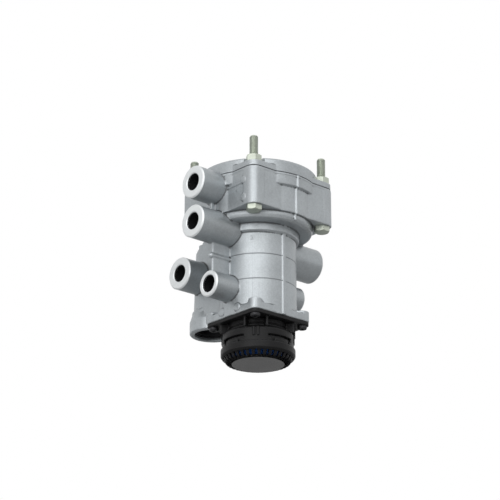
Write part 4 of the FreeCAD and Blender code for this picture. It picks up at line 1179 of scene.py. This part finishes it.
class VALVE_OT_hexagon_nuts(bpy.types.Operator):
    """Makes the four nuts on the cover"""

    bl_idname = "valve.hexagon_nuts"
    bl_label = "Hexagon nuts"

    def execute(self, context):
        sizes = context.scene.valve_fasteners
        nuts = [hexagon_nut(x, y, sizes.across_flats) for x, y in corners(STUD_SPACING)]
        fit(joined("hexagon_nuts", nuts, finish_for("zinc_steel")), "zinc_steel", "cover_nuts")
        return {"FINISHED"}


class VALVE_OT_silencer(bpy.types.Operator):
    """Makes the silencer's drum and grille cap"""

    bl_idname = "valve.silencer"
    bl_label = "Silencer"

    def execute(self, context):
        self.mould("silencer_body", "silencer_drum", DRUM_RADII)
        self.mould("silencer_cap", "grille_cap", CAP_RADII)
        return {"FINISHED"}

    def mould(self, node, name, radii):
        sizes = bpy.context.scene.valve_plastics
        skin = softened_copy(node, name, sizes.moulding_cell, sizes.moulding_softness,
                             finish_for("black_plastic"), upright_rounds(NECK_AXIS, radii))
        fit(skin, "black_plastic", node)


class VALVE_OT_pan_screws(bpy.types.Operator):
    """Makes the four pan-head screws of the silencer"""

    bl_idname = "valve.pan_screws"
    bl_label = "Pan screws"

    def execute(self, context):
        sizes = context.scene.valve_fasteners
        screws = [pan_screw(x, y, sizes.recess_r) for x, y in corners(SCREW_SPACING)]
        fit(joined("pan_screws", screws, finish_for("dark_steel")), "dark_steel", "silencer_screws")
        return {"FINISHED"}


class VALVE_OT_filter(bpy.types.Operator):
    """Makes the knitted filter behind the silencer's slots"""

    bl_idname = "valve.filter"
    bl_label = "Filter"

    def execute(self, context):
        mesh = gauze_body(context.scene.valve_plastics.yarn)
        mesh.shade_smooth()
        fit(new_object("filter_gauze", mesh, finish_for("blue_filter")), "blue_filter", "silencer_filter")
        return {"FINISHED"}


class VALVE_OT_springs(bpy.types.Operator):
    """Winds the four springs"""

    bl_idname = "valve.springs"
    bl_label = "Springs"

    def execute(self, context):
        for joint in frame["joints"]:
            for held in joint["deforming_nodes"]:
                self.wind(held["node"], joint, held["fixed_end_z_m"])
        return {"FINISHED"}

    def wind(self, node, joint, fixed_z):
        """One spring, wound in the node's own box; joint and fixed_z are not used."""
        spring = new_object(node + "_wire", coil_spring(node), finish_for("spring_steel"))
        fit(spring, "spring_steel", node)
        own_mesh(spring)


class VALVE_OT_numbers(bpy.types.Operator):
    """Raises plain numbers beside the ports"""

    bl_idname = "valve.numbers"
    bl_label = "Cast numbers"

    def execute(self, context):
        rise = context.scene.valve_castings.number_rise
        middle = (rise - DIGIT_SINK) / 2
        neck = raised_number("2", rise + DIGIT_SINK)
        bent_on_neck(neck, NECK_DIGIT_TURN, NECK_DIGIT_Z, NECK_R + middle)
        chamber = raised_number("1", rise + DIGIT_SINK)
        on_left_face(chamber, LEFT_DIGIT_Y, LEFT_DIGIT_Z, LEFT_FACE_X - middle)
        fit(joined("cast_numbers", [neck, chamber], finish_for("cast_aluminium")), "cast_aluminium")
        return {"FINISHED"}


class VALVE_OT_finishes(bpy.types.Operator):
    """Gives every remaining piece the finish of its material slot"""

    bl_idname = "valve.finishes"
    bl_label = "Finishes"

    def execute(self, context):
        for subpart in frame["record"]["subparts"]:
            only_material(NODES[subpart["node"]].data, finish_for(subpart["material_slot"]))
        return {"FINISHED"}


class VALVE_OT_stage(bpy.types.Operator):
    """Sets the camera, the lamps, the white world and the ground"""

    bl_idname = "valve.stage"
    bl_label = "Stage"

    def execute(self, context):
        settings = context.scene.valve_stage
        context.scene.view_settings.view_transform = "Standard"
        white_world(settings.ambient)
        lamp("key_lamp", KEY_TURN, KEY_LIFT, KEY_SIZE, settings.key_power)
        lamp("fill_lamp", FILL_TURN, FILL_LIFT, FILL_SIZE, settings.fill_power)
        ground(settings.floor_colour)
        photo_camera()
        return {"FINISHED"}


SETTINGS = {
    "valve_castings": ValveCastings,
    "valve_fasteners": ValveFasteners,
    "valve_plastics": ValvePlastics,
    "valve_stage": ValveStage,
}
PIECES = (
    VALVE_OT_cast_housing, VALVE_OT_cast_cover, VALVE_OT_port_faces, VALVE_OT_port_threads,
    VALVE_OT_long_bolts, VALVE_OT_hexagon_nuts, VALVE_OT_silencer, VALVE_OT_pan_screws,
    VALVE_OT_filter, VALVE_OT_springs, VALVE_OT_numbers, VALVE_OT_finishes, VALVE_OT_stage,
)


class VALVE_PT_panel(bpy.types.Panel):
    """Lists the valve's pieces and settings"""

    bl_idname = "VALVE_PT_panel"
    bl_label = "Trailer Control Valve"
    bl_space_type = "VIEW_3D"
    bl_region_type = "UI"
    bl_category = "Valve"

    def draw(self, context):
        for piece in PIECES:
            self.layout.operator(piece.bl_idname)
        for name in SETTINGS:
            group = getattr(context.scene, name)
            for key in group.__annotations__:
                self.layout.prop(group, key)


def register():
    for group in SETTINGS.values():
        bpy.utils.register_class(group)
    for name, group in SETTINGS.items():
        setattr(bpy.types.Scene, name, bpy.props.PointerProperty(type=group))
    for piece in PIECES:
        bpy.utils.register_class(piece)
    bpy.utils.register_class(VALVE_PT_panel)


def unregister():
    bpy.utils.unregister_class(VALVE_PT_panel)
    for piece in reversed(PIECES):
        bpy.utils.unregister_class(piece)
    for name, group in SETTINGS.items():
        delattr(bpy.types.Scene, name)
        bpy.utils.unregister_class(group)


def main():
    """Registers the add-on and makes every piece in order."""
    register()
    for piece in PIECES:
        group, name = piece.bl_idname.split(".")
        getattr(getattr(bpy.ops, group), name)()


if __name__ == "__main__":
    main()
